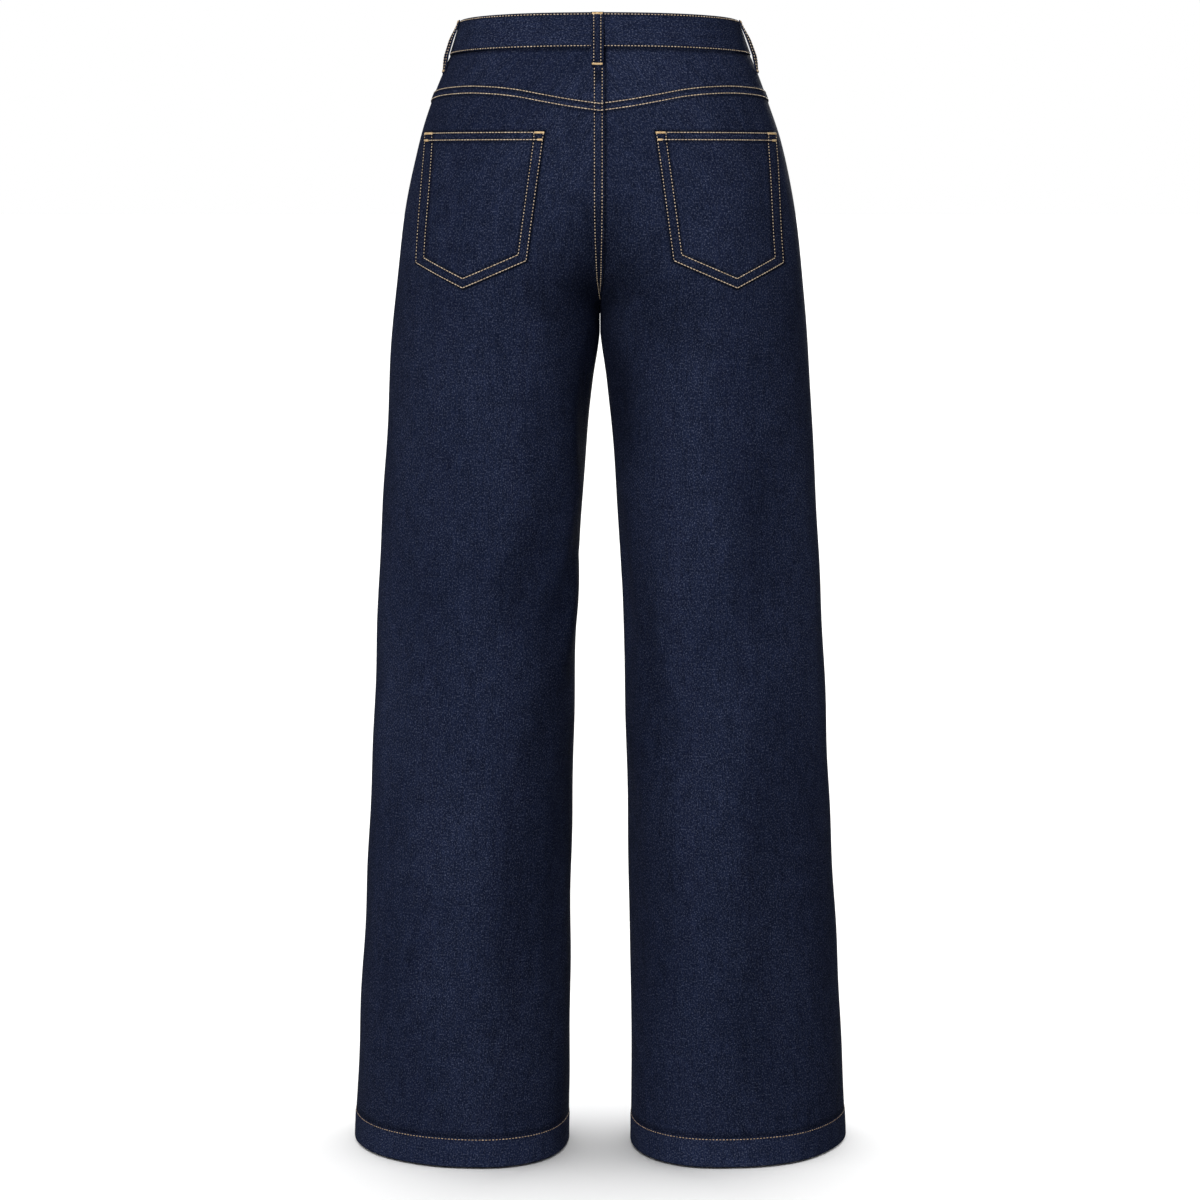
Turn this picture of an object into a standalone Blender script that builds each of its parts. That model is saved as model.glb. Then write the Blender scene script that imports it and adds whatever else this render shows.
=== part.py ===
"""Wide leg jeans, filled out with no wearer: each cut and sewn piece is a cloth wall on one shared form.

The origin is the middle of the waist opening, level with the top of the waistband at the sides.
+X is the wearer's right, +Y the wearer's front, +Z up. "drop" is a depth below the origin, "along" is a
share of the way round half a section, from the centre back, centre front or inseam (0) to the side
seam (1), and "lift" is a distance out from the cloth's face. Metres throughout.
"""
import math
from collections import namedtuple

import bmesh
import bpy
import numpy as np

# Cloth and seams.
DENIM = 0.0012
SEAM_GAP = 0.0003
LAID_ON_GAP = 0.0005
LINING_GAP = 0.0005
FACING_GAP = 0.0014

# Waistband and the line of its top edge, which rises at the back and falls at the front.
BAND_WIDTH = 0.0315
BAND_PROUD = 0.0006
BAND_THICKNESS = 0.0026
BACK_RISE = 0.0044
FRONT_FALL = 0.0110
UNDER_END = 0.034
UNDER_END_STEP = 0.0031
UNDER_END_RAMP = 0.030
UNDER_END_RAMP_STOP = 0.004
UNDER_END_START_ALONG = 0.17
WAIST_LINE_POWER = 1.4

# Lengths down from the origin.
LENGTH = 1.0556
CROTCH = 0.2720
BACK_CURVE_START = 0.145
FRONT_CURVE_START = 0.170
CURVE_BAND_TOP = 0.165
CROTCH_SOFTENING = 0.045
CROTCH_SHARPNESS = 0.35
SEAM_DIP_TOP = 0.001
SEAM_DIP = 0.020
CLOSING_COLUMNS = 0.5
HEM_WIDTH = 0.0278
HEM_THICKNESS = 0.0026
HEM_PROUD = 0.0006
HEM_STEP = 0.0015
SIDE_SEAM_FORWARD = 0.010

# Front pockets.
SCOOP_WIDTH = 0.098
SCOOP_DEPTH = 0.078
SCOOP_POWER = 1.8
FACING_BELOW = 0.030
FACING_PAST_SCOOP = 0.012

# Belt loops.
LOOP_WIDTH = 0.0115
LOOP_THICKNESS = 0.0015
LOOP_LENGTH = 0.0486
LOOP_CLEARANCE = 0.0056
LOOP_TOP = -0.0002
LOOP_RISES_BY = 0.42
LOOP_FALLS_OVER = 0.18
LOOP_BELOW_BAND = 0.004
LOOP_SIDE_ALONG = 0.860
LOOP_SIDE_TILT = 0.26
LOOP_FRONT_FROM_CENTRE = 0.062

# Fly, zip and button.
FLY_LENGTH = 0.125
FLY_WIDTH = 0.039
FLY_HALF_OPEN = 0.0047
FLY_CORNER = 0.030
FLY_FACING_THICKNESS = 0.0010
SHIELD_PAST_CENTRE = 0.014
SHIELD_WIDTH = 0.034
SHIELD_LENGTH = 0.133
ZIP_LENGTH = 0.115
TAPE_HALF_WIDTH = 0.014
CHAIN_HALF_WIDTH = 0.0029
CHAIN_EDGE = 0.0003
TAPE_LIFT = -0.0042
CHAIN_LIFT = -0.0033
TAPE_THICKNESS = 0.0008
SLIDER_THICKNESS = 0.0012
SLIDER_LIFT = -0.0018
SLIDER_BELOW_BAND = 0.003
BUTTON_POST_RADIUS = 0.0020
BUTTON_HOLE_RADIUS = 0.0026
BUTTON_FROM_EDGE = 0.017
BUTTON_SEGMENTS = 20
CUTTER_DEPTH = 0.0080

# One side of the slider and its pull tab, across and up, and the button's head, radius and height.
SLIDER_HALF_OUTLINE = (
    (0.0025, 0.0000), (0.0036, -0.0020), (0.0032, -0.0085), (0.0012, -0.0100),
    (0.0012, -0.0115), (0.0026, -0.0130), (0.0026, -0.0270), (0.0012, -0.0290),
)
BUTTON_HEAD = (
    (0.0000, 0.0026), (0.0035, 0.0024), (0.0052, 0.0019), (0.0066, 0.0022),
    (0.0078, 0.0019), (0.0085, 0.0011), (0.0078, 0.0000),
)

# Mesh density.
UPPER_ROWS = 13
LOWER_ROWS = 15
BACK_COLUMNS = 13
FRONT_COLUMNS = 8
SCOOP_COLUMNS = 8
SCOOP_COLUMNS_SPREAD = 1.6
SECTION_POINTS = 60
CLOSE_TO_CROTCH = 0.06
ROWS_CLOSE_UP = 1.7
ROWS_SPREAD = 1.25

# The yoke seam: a share of the way round from the centre back to the side seam, and how far down it is.
YOKE_LINE = (
    (0.00, 0.0808), (0.12, 0.0769), (0.23, 0.0724), (0.33, 0.0682), (0.42, 0.0661),
    (0.53, 0.0650), (0.66, 0.0657), (0.83, 0.0678), (1.00, 0.0698),
)

# Corners of a back pocket: how far each lies from the middle plane and below the origin.
Corner = namedtuple("Corner", "out drop")
POCKET_TOP_INNER = Corner(0.0488, 0.1034)
POCKET_TOP_OUTER = Corner(0.1583, 0.1034)
POCKET_LOW_INNER = Corner(0.0647, 0.2172)
POCKET_TIP = Corner(0.1226, 0.2418)
POCKET_LOW_OUTER = Corner(0.1662, 0.2196)

# The form: how far out each section reaches to the side, back, front and inside, and where.
Section = namedtuple("Section", "drop out_x out_y back_x back_y front_x front_y in_x in_y squareness")
SECTIONS = (
    Section(-0.012, 0.1256, 0.000, 0.020, -0.0930, 0.020, 0.0880, 0.0000, 0.000, 2.40),
    Section(0.0000, 0.1283, 0.000, 0.020, -0.0950, 0.020, 0.0890, 0.0000, 0.000, 2.40),
    Section(0.0320, 0.1362, 0.000, 0.022, -0.1010, 0.022, 0.0940, 0.0000, 0.000, 2.38),
    Section(0.0500, 0.1468, 0.000, 0.027, -0.1068, 0.025, 0.0971, 0.0000, 0.000, 2.36),
    Section(0.0700, 0.1552, 0.000, 0.034, -0.1130, 0.030, 0.1000, 0.0000, 0.000, 2.34),
    Section(0.1100, 0.1679, -0.002, 0.052, -0.1250, 0.042, 0.1040, 0.0000, 0.000, 2.30),
    Section(0.1600, 0.1783, -0.004, 0.070, -0.1340, 0.062, 0.1060, 0.0000, -0.002, 2.25),
    Section(0.2100, 0.1851, -0.007, 0.081, -0.1345, 0.078, 0.1065, 0.0000, -0.003, 2.18),
    Section(0.2720, 0.1918, -0.010, 0.089, -0.1270, 0.094, 0.1060, 0.0000, -0.004, 2.10),
    Section(0.3300, 0.1958, -0.010, 0.095, -0.1185, 0.104, 0.1045, 0.0065, -0.005, 2.06),
    Section(0.4240, 0.2015, -0.008, 0.102, -0.1110, 0.114, 0.1015, 0.0150, -0.006, 2.04),
    Section(0.5660, 0.2094, -0.004, 0.108, -0.1060, 0.125, 0.0990, 0.0222, -0.007, 2.04),
    Section(0.7600, 0.2191, 0.001, 0.111, -0.1045, 0.136, 0.1000, 0.0268, -0.007, 2.05),
    Section(0.9500, 0.2304, 0.009, 0.110, -0.1060, 0.148, 0.1035, 0.0290, -0.008, 2.09),
    Section(1.0600, 0.2360, 0.017, 0.109, -0.1075, 0.153, 0.1060, 0.0294, -0.006, 2.12),
)

# The largest folds: soft troughs and ridges, each along a line from one point of a panel to another.
# "near" is metres from the inseam or centre seam. side is 1 for the wearer's right, -1 for the left.
Fold = namedtuple("Fold", "side part from_drop from_near to_drop to_near breadth lift")
FOLDS = (
    Fold(-1, "back", 0.470, 0.020, 0.585, 0.088, 0.021, -0.0034),
    Fold(-1, "back", 0.520, 0.012, 0.640, 0.090, 0.020, 0.0026),
    Fold(-1, "back", 0.640, 0.036, 0.930, 0.062, 0.026, -0.0030),
    Fold(-1, "back", 0.300, 0.040, 0.400, 0.030, 0.022, -0.0030),
    Fold(1, "back", 0.455, 0.022, 0.590, 0.040, 0.020, -0.0034),
    Fold(1, "back", 0.575, 0.045, 0.690, 0.078, 0.021, 0.0026),
    Fold(1, "back", 0.700, 0.030, 0.930, 0.052, 0.026, -0.0028),
    Fold(1, "back", 0.305, 0.062, 0.400, 0.044, 0.018, -0.0026),
    Fold(1, "back", 0.430, 0.205, 0.640, 0.190, 0.030, -0.0026),
    Fold(-1, "front", 0.290, 0.030, 0.380, 0.075, 0.022, -0.0032),
    Fold(-1, "front", 0.500, 0.020, 0.600, 0.090, 0.022, -0.0030),
    Fold(-1, "front", 0.640, 0.150, 0.860, 0.120, 0.030, -0.0026),
    Fold(1, "front", 0.295, 0.034, 0.370, 0.088, 0.022, -0.0032),
    Fold(1, "front", 0.520, 0.030, 0.610, 0.105, 0.022, -0.0030),
    Fold(1, "front", 0.700, 0.120, 0.900, 0.145, 0.030, -0.0026),
)

Look = namedtuple("Look", "red green blue roughness metallic")
LOOKS = {
    "denim": Look(0.0140, 0.0180, 0.0420, 0.90, 0.0),
    "zip_tape": Look(0.0100, 0.0120, 0.0250, 0.80, 0.0),
    "antique_metal": Look(0.4200, 0.3100, 0.1700, 0.35, 1.0),
}


def material(name):
    look = LOOKS[name]
    made = bpy.data.materials.get(name) or bpy.data.materials.new(name)
    made.use_nodes = True
    shader = made.node_tree.nodes["Principled BSDF"]
    shader.inputs["Base Color"].default_value = (look.red, look.green, look.blue, 1.0)
    shader.inputs["Roughness"].default_value = look.roughness
    shader.inputs["Metallic"].default_value = look.metallic
    return made


def smooth(known, values, places):
    """A monotone cubic through known values."""
    known, values = np.array(known), np.array(values)
    steps = np.diff(known)
    slopes = np.diff(values) / steps
    tangents = np.empty(len(known))
    tangents[0], tangents[-1] = slopes[0], slopes[-1]
    for i in range(1, len(known) - 1):
        before, after = slopes[i - 1], slopes[i]
        if before * after <= 0.0:
            tangents[i] = 0.0
        else:
            first = 2 * steps[i] + steps[i - 1]
            second = steps[i] + 2 * steps[i - 1]
            tangents[i] = (first + second) / (first / before + second / after)
    index = np.clip(np.searchsorted(known, places, side="right") - 1, 0, len(steps) - 1)
    step = steps[index]
    share = (places - known[index]) / step
    rest = 1.0 - share
    start = (1 + 2 * share) * rest ** 2 * values[index] + share * rest ** 2 * step * tangents[index]
    end = (3 - 2 * share) * share ** 2 * values[index + 1]
    return start + end - rest * share ** 2 * step * tangents[index + 1]


def centre_depth(drop, start, reach, inner):
    """Depth of the centre seam: nearly the section's own, then round the crotch curve to the inseam."""
    dip = SEAM_DIP_TOP + SEAM_DIP * min(max((drop - BAND_WIDTH) / (start - BAND_WIDTH), 0.0), 1.0) ** 2
    share = min(max((drop - start) / (CROTCH - start), 0.0), 1.0)
    near = min((CROTCH - drop) / CROTCH_SOFTENING, 1.0)
    soft = CROTCH_SHARPNESS + (1.0 - CROTCH_SHARPNESS) * near ** 2 * (3.0 - 2.0 * near)
    return inner + (reach - inner) * (1.0 - dip) * math.sqrt((1.0 - share ** 2) * soft)


def quarter(centre, reach, angles, squareness):
    power = 2.0 / squareness
    return np.column_stack((
        centre[0] + reach[0] * np.clip(np.cos(angles), 0.0, 1.0) ** power,
        centre[1] + reach[1] * np.clip(np.sin(angles), 0.0, 1.0) ** power,
    ))


def section_outline(row):
    """Half a section, from the inner end of the back round the side to the inner end of the front."""
    right_angle = math.pi / 2
    power = 2.0 / row.squareness
    ends = []
    for middle_x, reach_y, start in (
        (row.back_x, row.back_y, BACK_CURVE_START),
        (row.front_x, row.front_y, FRONT_CURVE_START),
    ):
        if row.drop >= CROTCH:
            ends.append((0.0, middle_x - row.in_x))
            continue
        seam_y = centre_depth(row.drop, start, reach_y, row.in_y)
        share = (seam_y - row.in_y) / (reach_y - row.in_y)
        angle = math.asin(share ** (1 / power))
        ends.append((angle, middle_x / math.cos(angle) ** power))
    (back_angle, back_inward), (front_angle, front_inward) = ends
    quarters = (
        quarter((row.back_x, row.in_y), (-back_inward, row.back_y - row.in_y),
                np.linspace(back_angle, right_angle, SECTION_POINTS), row.squareness),
        quarter((row.back_x, row.out_y), (row.out_x - row.back_x, row.back_y - row.out_y),
                np.linspace(right_angle, 0.0, SECTION_POINTS), row.squareness),
        quarter((row.front_x, row.out_y), (row.out_x - row.front_x, row.front_y - row.out_y),
                np.linspace(0.0, right_angle, SECTION_POINTS), row.squareness),
        quarter((row.front_x, row.in_y), (-front_inward, row.front_y - row.in_y),
                np.linspace(right_angle, front_angle, SECTION_POINTS), row.squareness),
    )
    return np.vstack((quarters[0], quarters[1][1:], quarters[2][1:], quarters[3][1:]))


def even_points(outline, count):
    lengths = np.concatenate(([0.0], np.cumsum(np.hypot(*np.diff(outline, axis=0).T))))
    places = np.linspace(0.0, lengths[-1], count)
    return np.column_stack([np.interp(places, lengths, outline[:, axis]) for axis in (0, 1)]), lengths[-1]


class Form:
    """The cloth's face on the wearer's right, as a fine table of points and level outward directions."""

    def __init__(self):
        off = np.linspace(-1.0, 1.0, 121)
        near_crotch = CROTCH + CLOSE_TO_CROTCH * np.sign(off) * off ** 2
        even = np.linspace(SECTIONS[0].drop, SECTIONS[-1].drop, 420)
        self.drops = np.unique(np.concatenate((even, near_crotch)).round(7))
        known = Section(*zip(*SECTIONS))
        columns = {name: smooth(known.drop, getattr(known, name), self.drops) for name in Section._fields[1:]}
        self.width = {"back": [], "front": []}
        points = {"back": [], "front": []}
        for i, drop in enumerate(self.drops):
            row = Section(drop, *(columns[name][i] for name in Section._fields[1:]))
            outline = section_outline(row)
            lengths = np.concatenate(([0.0], np.cumsum(np.hypot(*np.diff(outline, axis=0).T))))
            seam = lengths[2 * SECTION_POINTS - 2] + SIDE_SEAM_FORWARD
            for part, inside in (("back", lengths <= seam), ("front", lengths >= seam)):
                seam_point = [np.interp(seam, lengths, outline[:, axis]) for axis in (0, 1)]
                piece = outline[inside] if part == "back" else outline[inside][::-1]
                even, length = even_points(np.vstack((piece, seam_point)), 241)
                points[part].append(even)
                self.width[part].append(length)
        self.points = {part: np.array(rows) for part, rows in points.items()}
        self.outward = {}
        for part, turn in (("back", 1.0), ("front", -1.0)):
            heading = np.gradient(self.points[part], axis=1)
            heading /= np.linalg.norm(heading, axis=2, keepdims=True)
            self.outward[part] = turn * np.stack((heading[..., 1], -heading[..., 0]), axis=2)
            self.width[part] = np.array(self.width[part])

    def across(self, part, drop):
        return np.interp(drop, self.drops, self.width[part])

    def sample(self, table, drop, along):
        row = np.clip(np.searchsorted(self.drops, drop, side="right") - 1, 0, len(self.drops) - 2)
        down = (drop - self.drops[row]) / (self.drops[row + 1] - self.drops[row])
        place = np.clip(along, 0.0, 1.0) * (table.shape[1] - 1)
        column = np.clip(place.astype(int), 0, table.shape[1] - 2)
        over = (place - column)[..., None]
        down = down[..., None]
        upper = table[row, column] * (1 - over) + table[row, column + 1] * over
        lower = table[row + 1, column] * (1 - over) + table[row + 1, column + 1] * over
        return upper * (1 - down) + lower * down

    def along_at(self, part, drop, out):
        """Where round the section the form reaches a given distance from the middle plane."""
        shares = np.linspace(0.0, 1.0, self.points[part].shape[1])
        found = []
        for level, reach in zip(drop.ravel(), out.ravel()):
            reaches = self.sample(self.points[part][..., :1], np.full(shares.shape, level), shares)
            found.append(np.interp(reach, reaches[..., 0], shares))
        return np.array(found).reshape(drop.shape)

    def fold_lift(self, side, part, drop, along):
        near = along * self.across(part, drop)
        total = np.zeros_like(near)
        for fold in FOLDS:
            if (fold.side, fold.part) != (side, part):
                continue
            run = np.array((fold.to_drop - fold.from_drop, fold.to_near - fold.from_near))
            length = np.hypot(*run)
            run /= length
            down, over = drop - fold.from_drop, near - fold.from_near
            share = (down * run[0] + over * run[1]) / length
            off_line = over * run[0] - down * run[1]
            ends = np.clip(1.0 - (2.0 * np.clip(share, -0.2, 1.2) - 1.0) ** 2 / 1.96, 0.0, 1.0)
            total = total + fold.lift * ends * np.exp(-(off_line / fold.breadth) ** 2)
        return total

    def place(self, side, part, drop, along, lift, keep_side=True):
        """Points on the garment. keep_side holds them half a seam gap off the middle plane."""
        drop, along, lift = np.broadcast_arrays(*(np.asarray(value, float) for value in (drop, along, lift)))
        lift = lift + self.fold_lift(side, part, drop, along)
        flat = self.sample(self.points[part], drop, along)
        flat = flat + self.sample(self.outward[part], drop, along) * lift[..., None]
        reach = np.maximum(flat[..., 0], SEAM_GAP / 2) if keep_side else flat[..., 0]
        return np.stack((side * reach, flat[..., 1], -drop), axis=-1)

    def place_front(self, drop, from_centre, lift):
        """Points by their distance from the centre front, below zero on the wearer's left."""
        drop, from_centre, lift = np.broadcast_arrays(drop, from_centre, lift)
        along = np.abs(from_centre) / self.across("front", drop)
        right = self.place(1, "front", drop, along, lift, keep_side=False)
        return np.stack((np.where(from_centre < 0, -right[..., 0], right[..., 0]),
                         right[..., 1], right[..., 2]), axis=-1)


def waist_line(part, along):
    """How far the waistband's top edge lies above the origin."""
    share = np.cos(np.clip(along, 0.0, 1.0) * math.pi / 2) ** WAIST_LINE_POWER
    return BACK_RISE * share if part == "back" else -FRONT_FALL * share


def yoke_line(along):
    return smooth(*zip(*YOKE_LINE), along)


def scoop_line(along, across):
    """How far the front pocket's opening cuts below the waistband: steep inside, level at the side."""
    into = np.clip((along - 1.0) * across / SCOOP_WIDTH + 1.0, 0.0, 1.0)
    return SCOOP_DEPTH * (1.0 - (1.0 - into) ** SCOOP_POWER) ** (1.0 / SCOOP_POWER)


def wall(name, outer, inner, look, flip=False):
    """A closed wall between two grids of points, both split along the same diagonals.

    Its ends run straight across the cloth, so that neighbours stay an even gap apart.
    """
    rows, columns = outer.shape[:2]
    mesh = bmesh.new()
    faces = [[[mesh.verts.new(point) for point in line] for line in grid] for grid in (outer, inner)]
    for layer, grid in enumerate(faces):
        for i in range(rows - 1):
            for j in range(columns - 1):
                a, b, c, d = grid[i][j], grid[i + 1][j], grid[i + 1][j + 1], grid[i][j + 1]
                for corners in ((a, b, c), (a, c, d)):
                    mesh.faces.new(corners if layer == 0 else corners[::-1])
    rim = [(0, j) for j in range(columns - 1)] + [(i, columns - 1) for i in range(rows - 1)]
    rim += [(rows - 1, j) for j in range(columns - 1, 0, -1)] + [(i, 0) for i in range(rows - 1, 0, -1)]
    for start, end in zip(rim, rim[1:] + rim[:1]):
        a, b = faces[0][start[0]][start[1]], faces[0][end[0]][end[1]]
        c, d = faces[1][end[0]][end[1]], faces[1][start[0]][start[1]]
        mesh.faces.new((a, b, c))
        mesh.faces.new((a, c, d))
    if flip:
        bmesh.ops.reverse_faces(mesh, faces=mesh.faces[:])
    data = bpy.data.meshes.new(name)
    mesh.to_mesh(data)
    mesh.free()
    return finish(bpy.data.objects.new(name, data), look)


def finish(obj, look, collection="wide_leg_jeans"):
    home = bpy.data.collections.get(collection)
    if home is None:
        home = bpy.data.collections.new(collection)
        bpy.context.scene.collection.children.link(home)
    for old in obj.users_collection:
        old.objects.unlink(obj)
    home.objects.link(obj)
    if look:
        obj.data.materials.clear()
        obj.data.materials.append(material(look))
    return obj


def side_name(stem, side):
    return f"{stem}_{'right' if side > 0 else 'left'}"


def cloth(name, side, part, drop, along, outside, inside, look):
    """A wall on one panel's form, between two lifts. Its columns run from the centre to the side."""
    outer = FORM.place(side, part, drop, along, outside)
    inner = FORM.place(side, part, drop, along, inside)
    return wall(name, outer, inner, look, flip=(side > 0) == (part == "front"))


def inset(part, drop, columns):
    """Shares of the width, each end half a seam gap in from the seam.

    Where the crotch curve takes width away, only the columns nearest to it close up.
    """
    across = FORM.across(part, drop)
    margin = SEAM_GAP / 2 / across
    steady = across
    if np.max(drop) > CURVE_BAND_TOP:
        top, bottom = FORM.across(part, CURVE_BAND_TOP), FORM.across(part, CROTCH)
        share = (drop - CURVE_BAND_TOP) / (CROTCH - CURVE_BAND_TOP)
        inside = (share > 0.0) & (share < 1.0)
        steady = np.where(inside, top + (bottom - top) * share, across)
    far = 1.0 - (1.0 - columns) * steady / across
    limit = 1.0 - (1.0 - CLOSING_COLUMNS) * steady / across
    columns = np.where(columns > CLOSING_COLUMNS, far, columns / CLOSING_COLUMNS * limit)
    return margin + columns * (1.0 - 2.0 * margin)


def panel_stations():
    """Row places down a panel: 0 to 1 from its top to the crotch, and 1 to 2 from there to the hem."""
    upper = 1.0 - (1.0 - np.linspace(0.0, 1.0, UPPER_ROWS)) ** ROWS_CLOSE_UP
    hem_top = 1.0 - HEM_WIDTH / (LENGTH - CROTCH)
    lower = np.linspace(0.0, 1.0, LOWER_ROWS) ** ROWS_SPREAD * hem_top
    step = HEM_STEP / (LENGTH - CROTCH)
    return np.concatenate((upper, 1.0 + lower[1:], (2.0 - (1.0 - hem_top - step), 2.0)))


def panel(name, side, part, top, columns):
    """A front or back panel from its top edge to the hem, doubled where the hem turns up inside."""
    stations = panel_stations()[:, None]
    above = np.minimum(stations, 1.0)
    below = np.maximum(stations - 1.0, 0.0)
    drop = top[None, :] + (CROTCH - top[None, :]) * above + (LENGTH - CROTCH) * below
    along = inset(part, drop, np.broadcast_to(columns, drop.shape))
    in_hem = np.broadcast_to(stations > 2.0 - (HEM_WIDTH - HEM_STEP / 2) / (LENGTH - CROTCH), drop.shape)
    outside = np.where(in_hem, HEM_PROUD, 0.0)
    inside = np.where(in_hem, HEM_PROUD - HEM_THICKNESS, -DENIM)
    return cloth(name, side, part, drop, along, outside, inside, "denim")


def back_columns():
    return np.linspace(0.0, 1.0, BACK_COLUMNS)


def front_columns():
    """Even columns to the front pocket, then some round its opening, closest where it is steep."""
    scoop = 1.0 - SCOOP_WIDTH / FORM.across("front", BAND_WIDTH + FRONT_FALL)
    opening = scoop + (1.0 - scoop) * np.linspace(0.0, 1.0, SCOOP_COLUMNS) ** SCOOP_COLUMNS_SPREAD
    return np.concatenate((np.linspace(0.0, scoop, FRONT_COLUMNS)[:-1], opening))


def below_band(part, along):
    return BAND_WIDTH - waist_line(part, along) + SEAM_GAP


def back_panel(side):
    columns = back_columns()
    panel(side_name("back_panel", side), side, "back", yoke_line(columns) + SEAM_GAP / 2, columns)


def front_panel(side):
    columns = front_columns()
    band = below_band("front", columns)
    top = band + scoop_line(columns, FORM.across("front", band))
    panel(side_name("front_panel", side), side, "front", top, columns)


def yoke(side):
    columns = back_columns()
    top = below_band("back", columns)
    bottom = yoke_line(columns) - SEAM_GAP / 2
    drop = top + np.linspace(0.0, 1.0, 4)[:, None] * (bottom - top)
    along = inset("back", drop, np.broadcast_to(columns, drop.shape))
    cloth(side_name("yoke", side), side, "back", drop, along, 0.0, -DENIM, "denim")


def back_pocket(side):
    """A patch pocket with a pointed lower edge, laid on the back panel."""
    across = np.linspace(0.0, 1.0, 11)
    down = np.linspace(0.0, 1.0, 10)[:, None]
    upper = (POCKET_TOP_INNER, POCKET_TOP_OUTER)
    lower = (POCKET_LOW_INNER, POCKET_TIP, POCKET_LOW_OUTER)
    out, drop = (
        np.interp(across, (0.0, 1.0), [corner[axis] for corner in upper]) * (1.0 - down)
        + np.interp(across, (0.0, 0.5, 1.0), [corner[axis] for corner in lower]) * down
        for axis in (0, 1)
    )
    along = FORM.along_at("back", drop, out)
    lift = LAID_ON_GAP
    cloth(side_name("back_pocket", side), side, "back", drop, along, lift + DENIM, lift, "denim")


def front_pocket_facing(side):
    """The cloth seen in the front pocket's opening, behind the front panel."""
    columns = front_columns()
    columns = columns[columns > 1.0 - (SCOOP_WIDTH + FACING_PAST_SCOOP) / FORM.across("front", BAND_WIDTH)]
    top = below_band("front", columns)
    bottom = BAND_WIDTH + SCOOP_DEPTH + FACING_BELOW
    drop = top + np.linspace(0.0, 1.0, 7)[:, None] * (bottom - top)
    along = inset("front", drop, np.broadcast_to(columns, drop.shape))
    lift = -DENIM - FACING_GAP
    cloth(side_name("front_pocket_facing", side), side, "front", drop, along, lift, lift - DENIM, "denim")


def waistband():
    """One strip from the buttonhole end, round the wearer's left, back and right, to the end under it."""
    rows = np.array((0.0, 0.33, 0.67, 1.0))[:, None] * BAND_WIDTH
    stretches = []
    for side, part, start, end, count in (
        (-1, "front", 0.0, 1.0, 13), (-1, "back", 1.0, 0.0, 13),
        (1, "back", 0.0, 1.0, 13), (1, "front", 1.0, UNDER_END_START_ALONG, 11),
    ):
        along = np.linspace(start, end, count)
        if (side, part) == (-1, "front"):
            along[0] = SEAM_GAP / 2 / FORM.across("front", BAND_WIDTH)
        drop = rows - waist_line(part, along)
        stretches.append([FORM.place(side, part, drop, along, lift, keep_side=part == "front")
                          for lift in (BAND_PROUD, BAND_PROUD - BAND_THICKNESS)])
    near = np.concatenate((np.linspace(0.026, 0.002, 6), np.linspace(-0.008, -UNDER_END, 4)))
    ramp = np.clip((UNDER_END_RAMP - near) / (UNDER_END_RAMP - UNDER_END_RAMP_STOP), 0.0, 1.0)
    shift = -UNDER_END_STEP * ramp ** 2 * (3.0 - 2.0 * ramp)
    along = np.abs(near) / FORM.across("front", BAND_WIDTH)
    drop = rows - waist_line("front", along)
    stretches.append([FORM.place_front(drop, near + 0.0 * drop, shift + lift + 0.0 * drop)
                      for lift in (BAND_PROUD, BAND_PROUD - BAND_THICKNESS)])
    skins = []
    for layer in (0, 1):
        joined = [stretches[0][layer]]
        for stretch in stretches[1:]:
            repeats = np.allclose(stretch[layer][:, 0], joined[-1][:, -1], atol=1e-4)
            joined.append(stretch[layer][:, 1:] if repeats else stretch[layer])
        skins.append(np.concatenate(joined, axis=1))
    return wall("waistband", skins[0], skins[1], "denim", flip=True)


def belt_loop(name, side, part, centre, tilt=0.0):
    """A strip from the waistband's top edge to the yoke or panel, standing off in its middle.

    tilt is how much further off its edge away from the centre stands, for each metre across it.
    """
    share = np.concatenate((np.linspace(0.0, 0.4, 5), np.linspace(0.5, 0.8, 4), np.linspace(0.88, 1.0, 3)))
    rise = waist_line(part, centre / FORM.across(part, BAND_WIDTH))
    drop = (LOOP_TOP - rise + share * LOOP_LENGTH)[:, None]
    standing = np.clip(np.minimum(share / LOOP_RISES_BY, (1.0 - share) / LOOP_FALLS_OVER), 0.0, 1.0)
    standing = standing ** 2 * (3.0 - 2.0 * standing)
    seat = np.where(share * LOOP_LENGTH < BAND_WIDTH + LOOP_BELOW_BAND, BAND_PROUD, 0.0) + SEAM_GAP
    over = np.linspace(-0.5, 0.5, 4) * LOOP_WIDTH
    near = centre + over
    lift = seat[:, None] + (LOOP_CLEARANCE - SEAM_GAP + tilt * over) * standing[:, None]
    if centre == 0.0:
        half = FORM.across("back", drop)
        right = FORM.place(1, "back", drop, np.abs(near) / half, lift, keep_side=False)
        outer = FORM.place(1, "back", drop, np.abs(near) / half, lift + LOOP_THICKNESS, keep_side=False)
        for grid in (right, outer):
            grid[..., 0] = np.where(near < 0, -grid[..., 0], grid[..., 0])
        return wall(name, outer, right, "denim")
    grids = []
    for level in (lift + LOOP_THICKNESS, lift):
        grids.append(FORM.place(side, part, drop, near / FORM.across(part, drop), level))
    return wall(name, grids[0], grids[1], "denim", flip=(side > 0) == (part == "front"))


def fly_facing():
    """The turned-in layer behind the left front's edge, with its lower corner rounded off."""
    near = np.linspace(FLY_HALF_OPEN, FLY_WIDTH, 7)
    curve = FLY_LENGTH - FLY_CORNER * (1.0 - np.sqrt(1.0 - ((near - near[0]) / FLY_WIDTH) ** 2))
    top = below_band("front", near / FORM.across("front", BAND_WIDTH))
    drop = top + np.linspace(0.0, 1.0, 6)[:, None] * curve
    along = near / FORM.across("front", drop)
    lift = -DENIM - LINING_GAP
    cloth("fly_facing", -1, "front", drop, along, lift, lift - FLY_FACING_THICKNESS, "denim")


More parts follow.
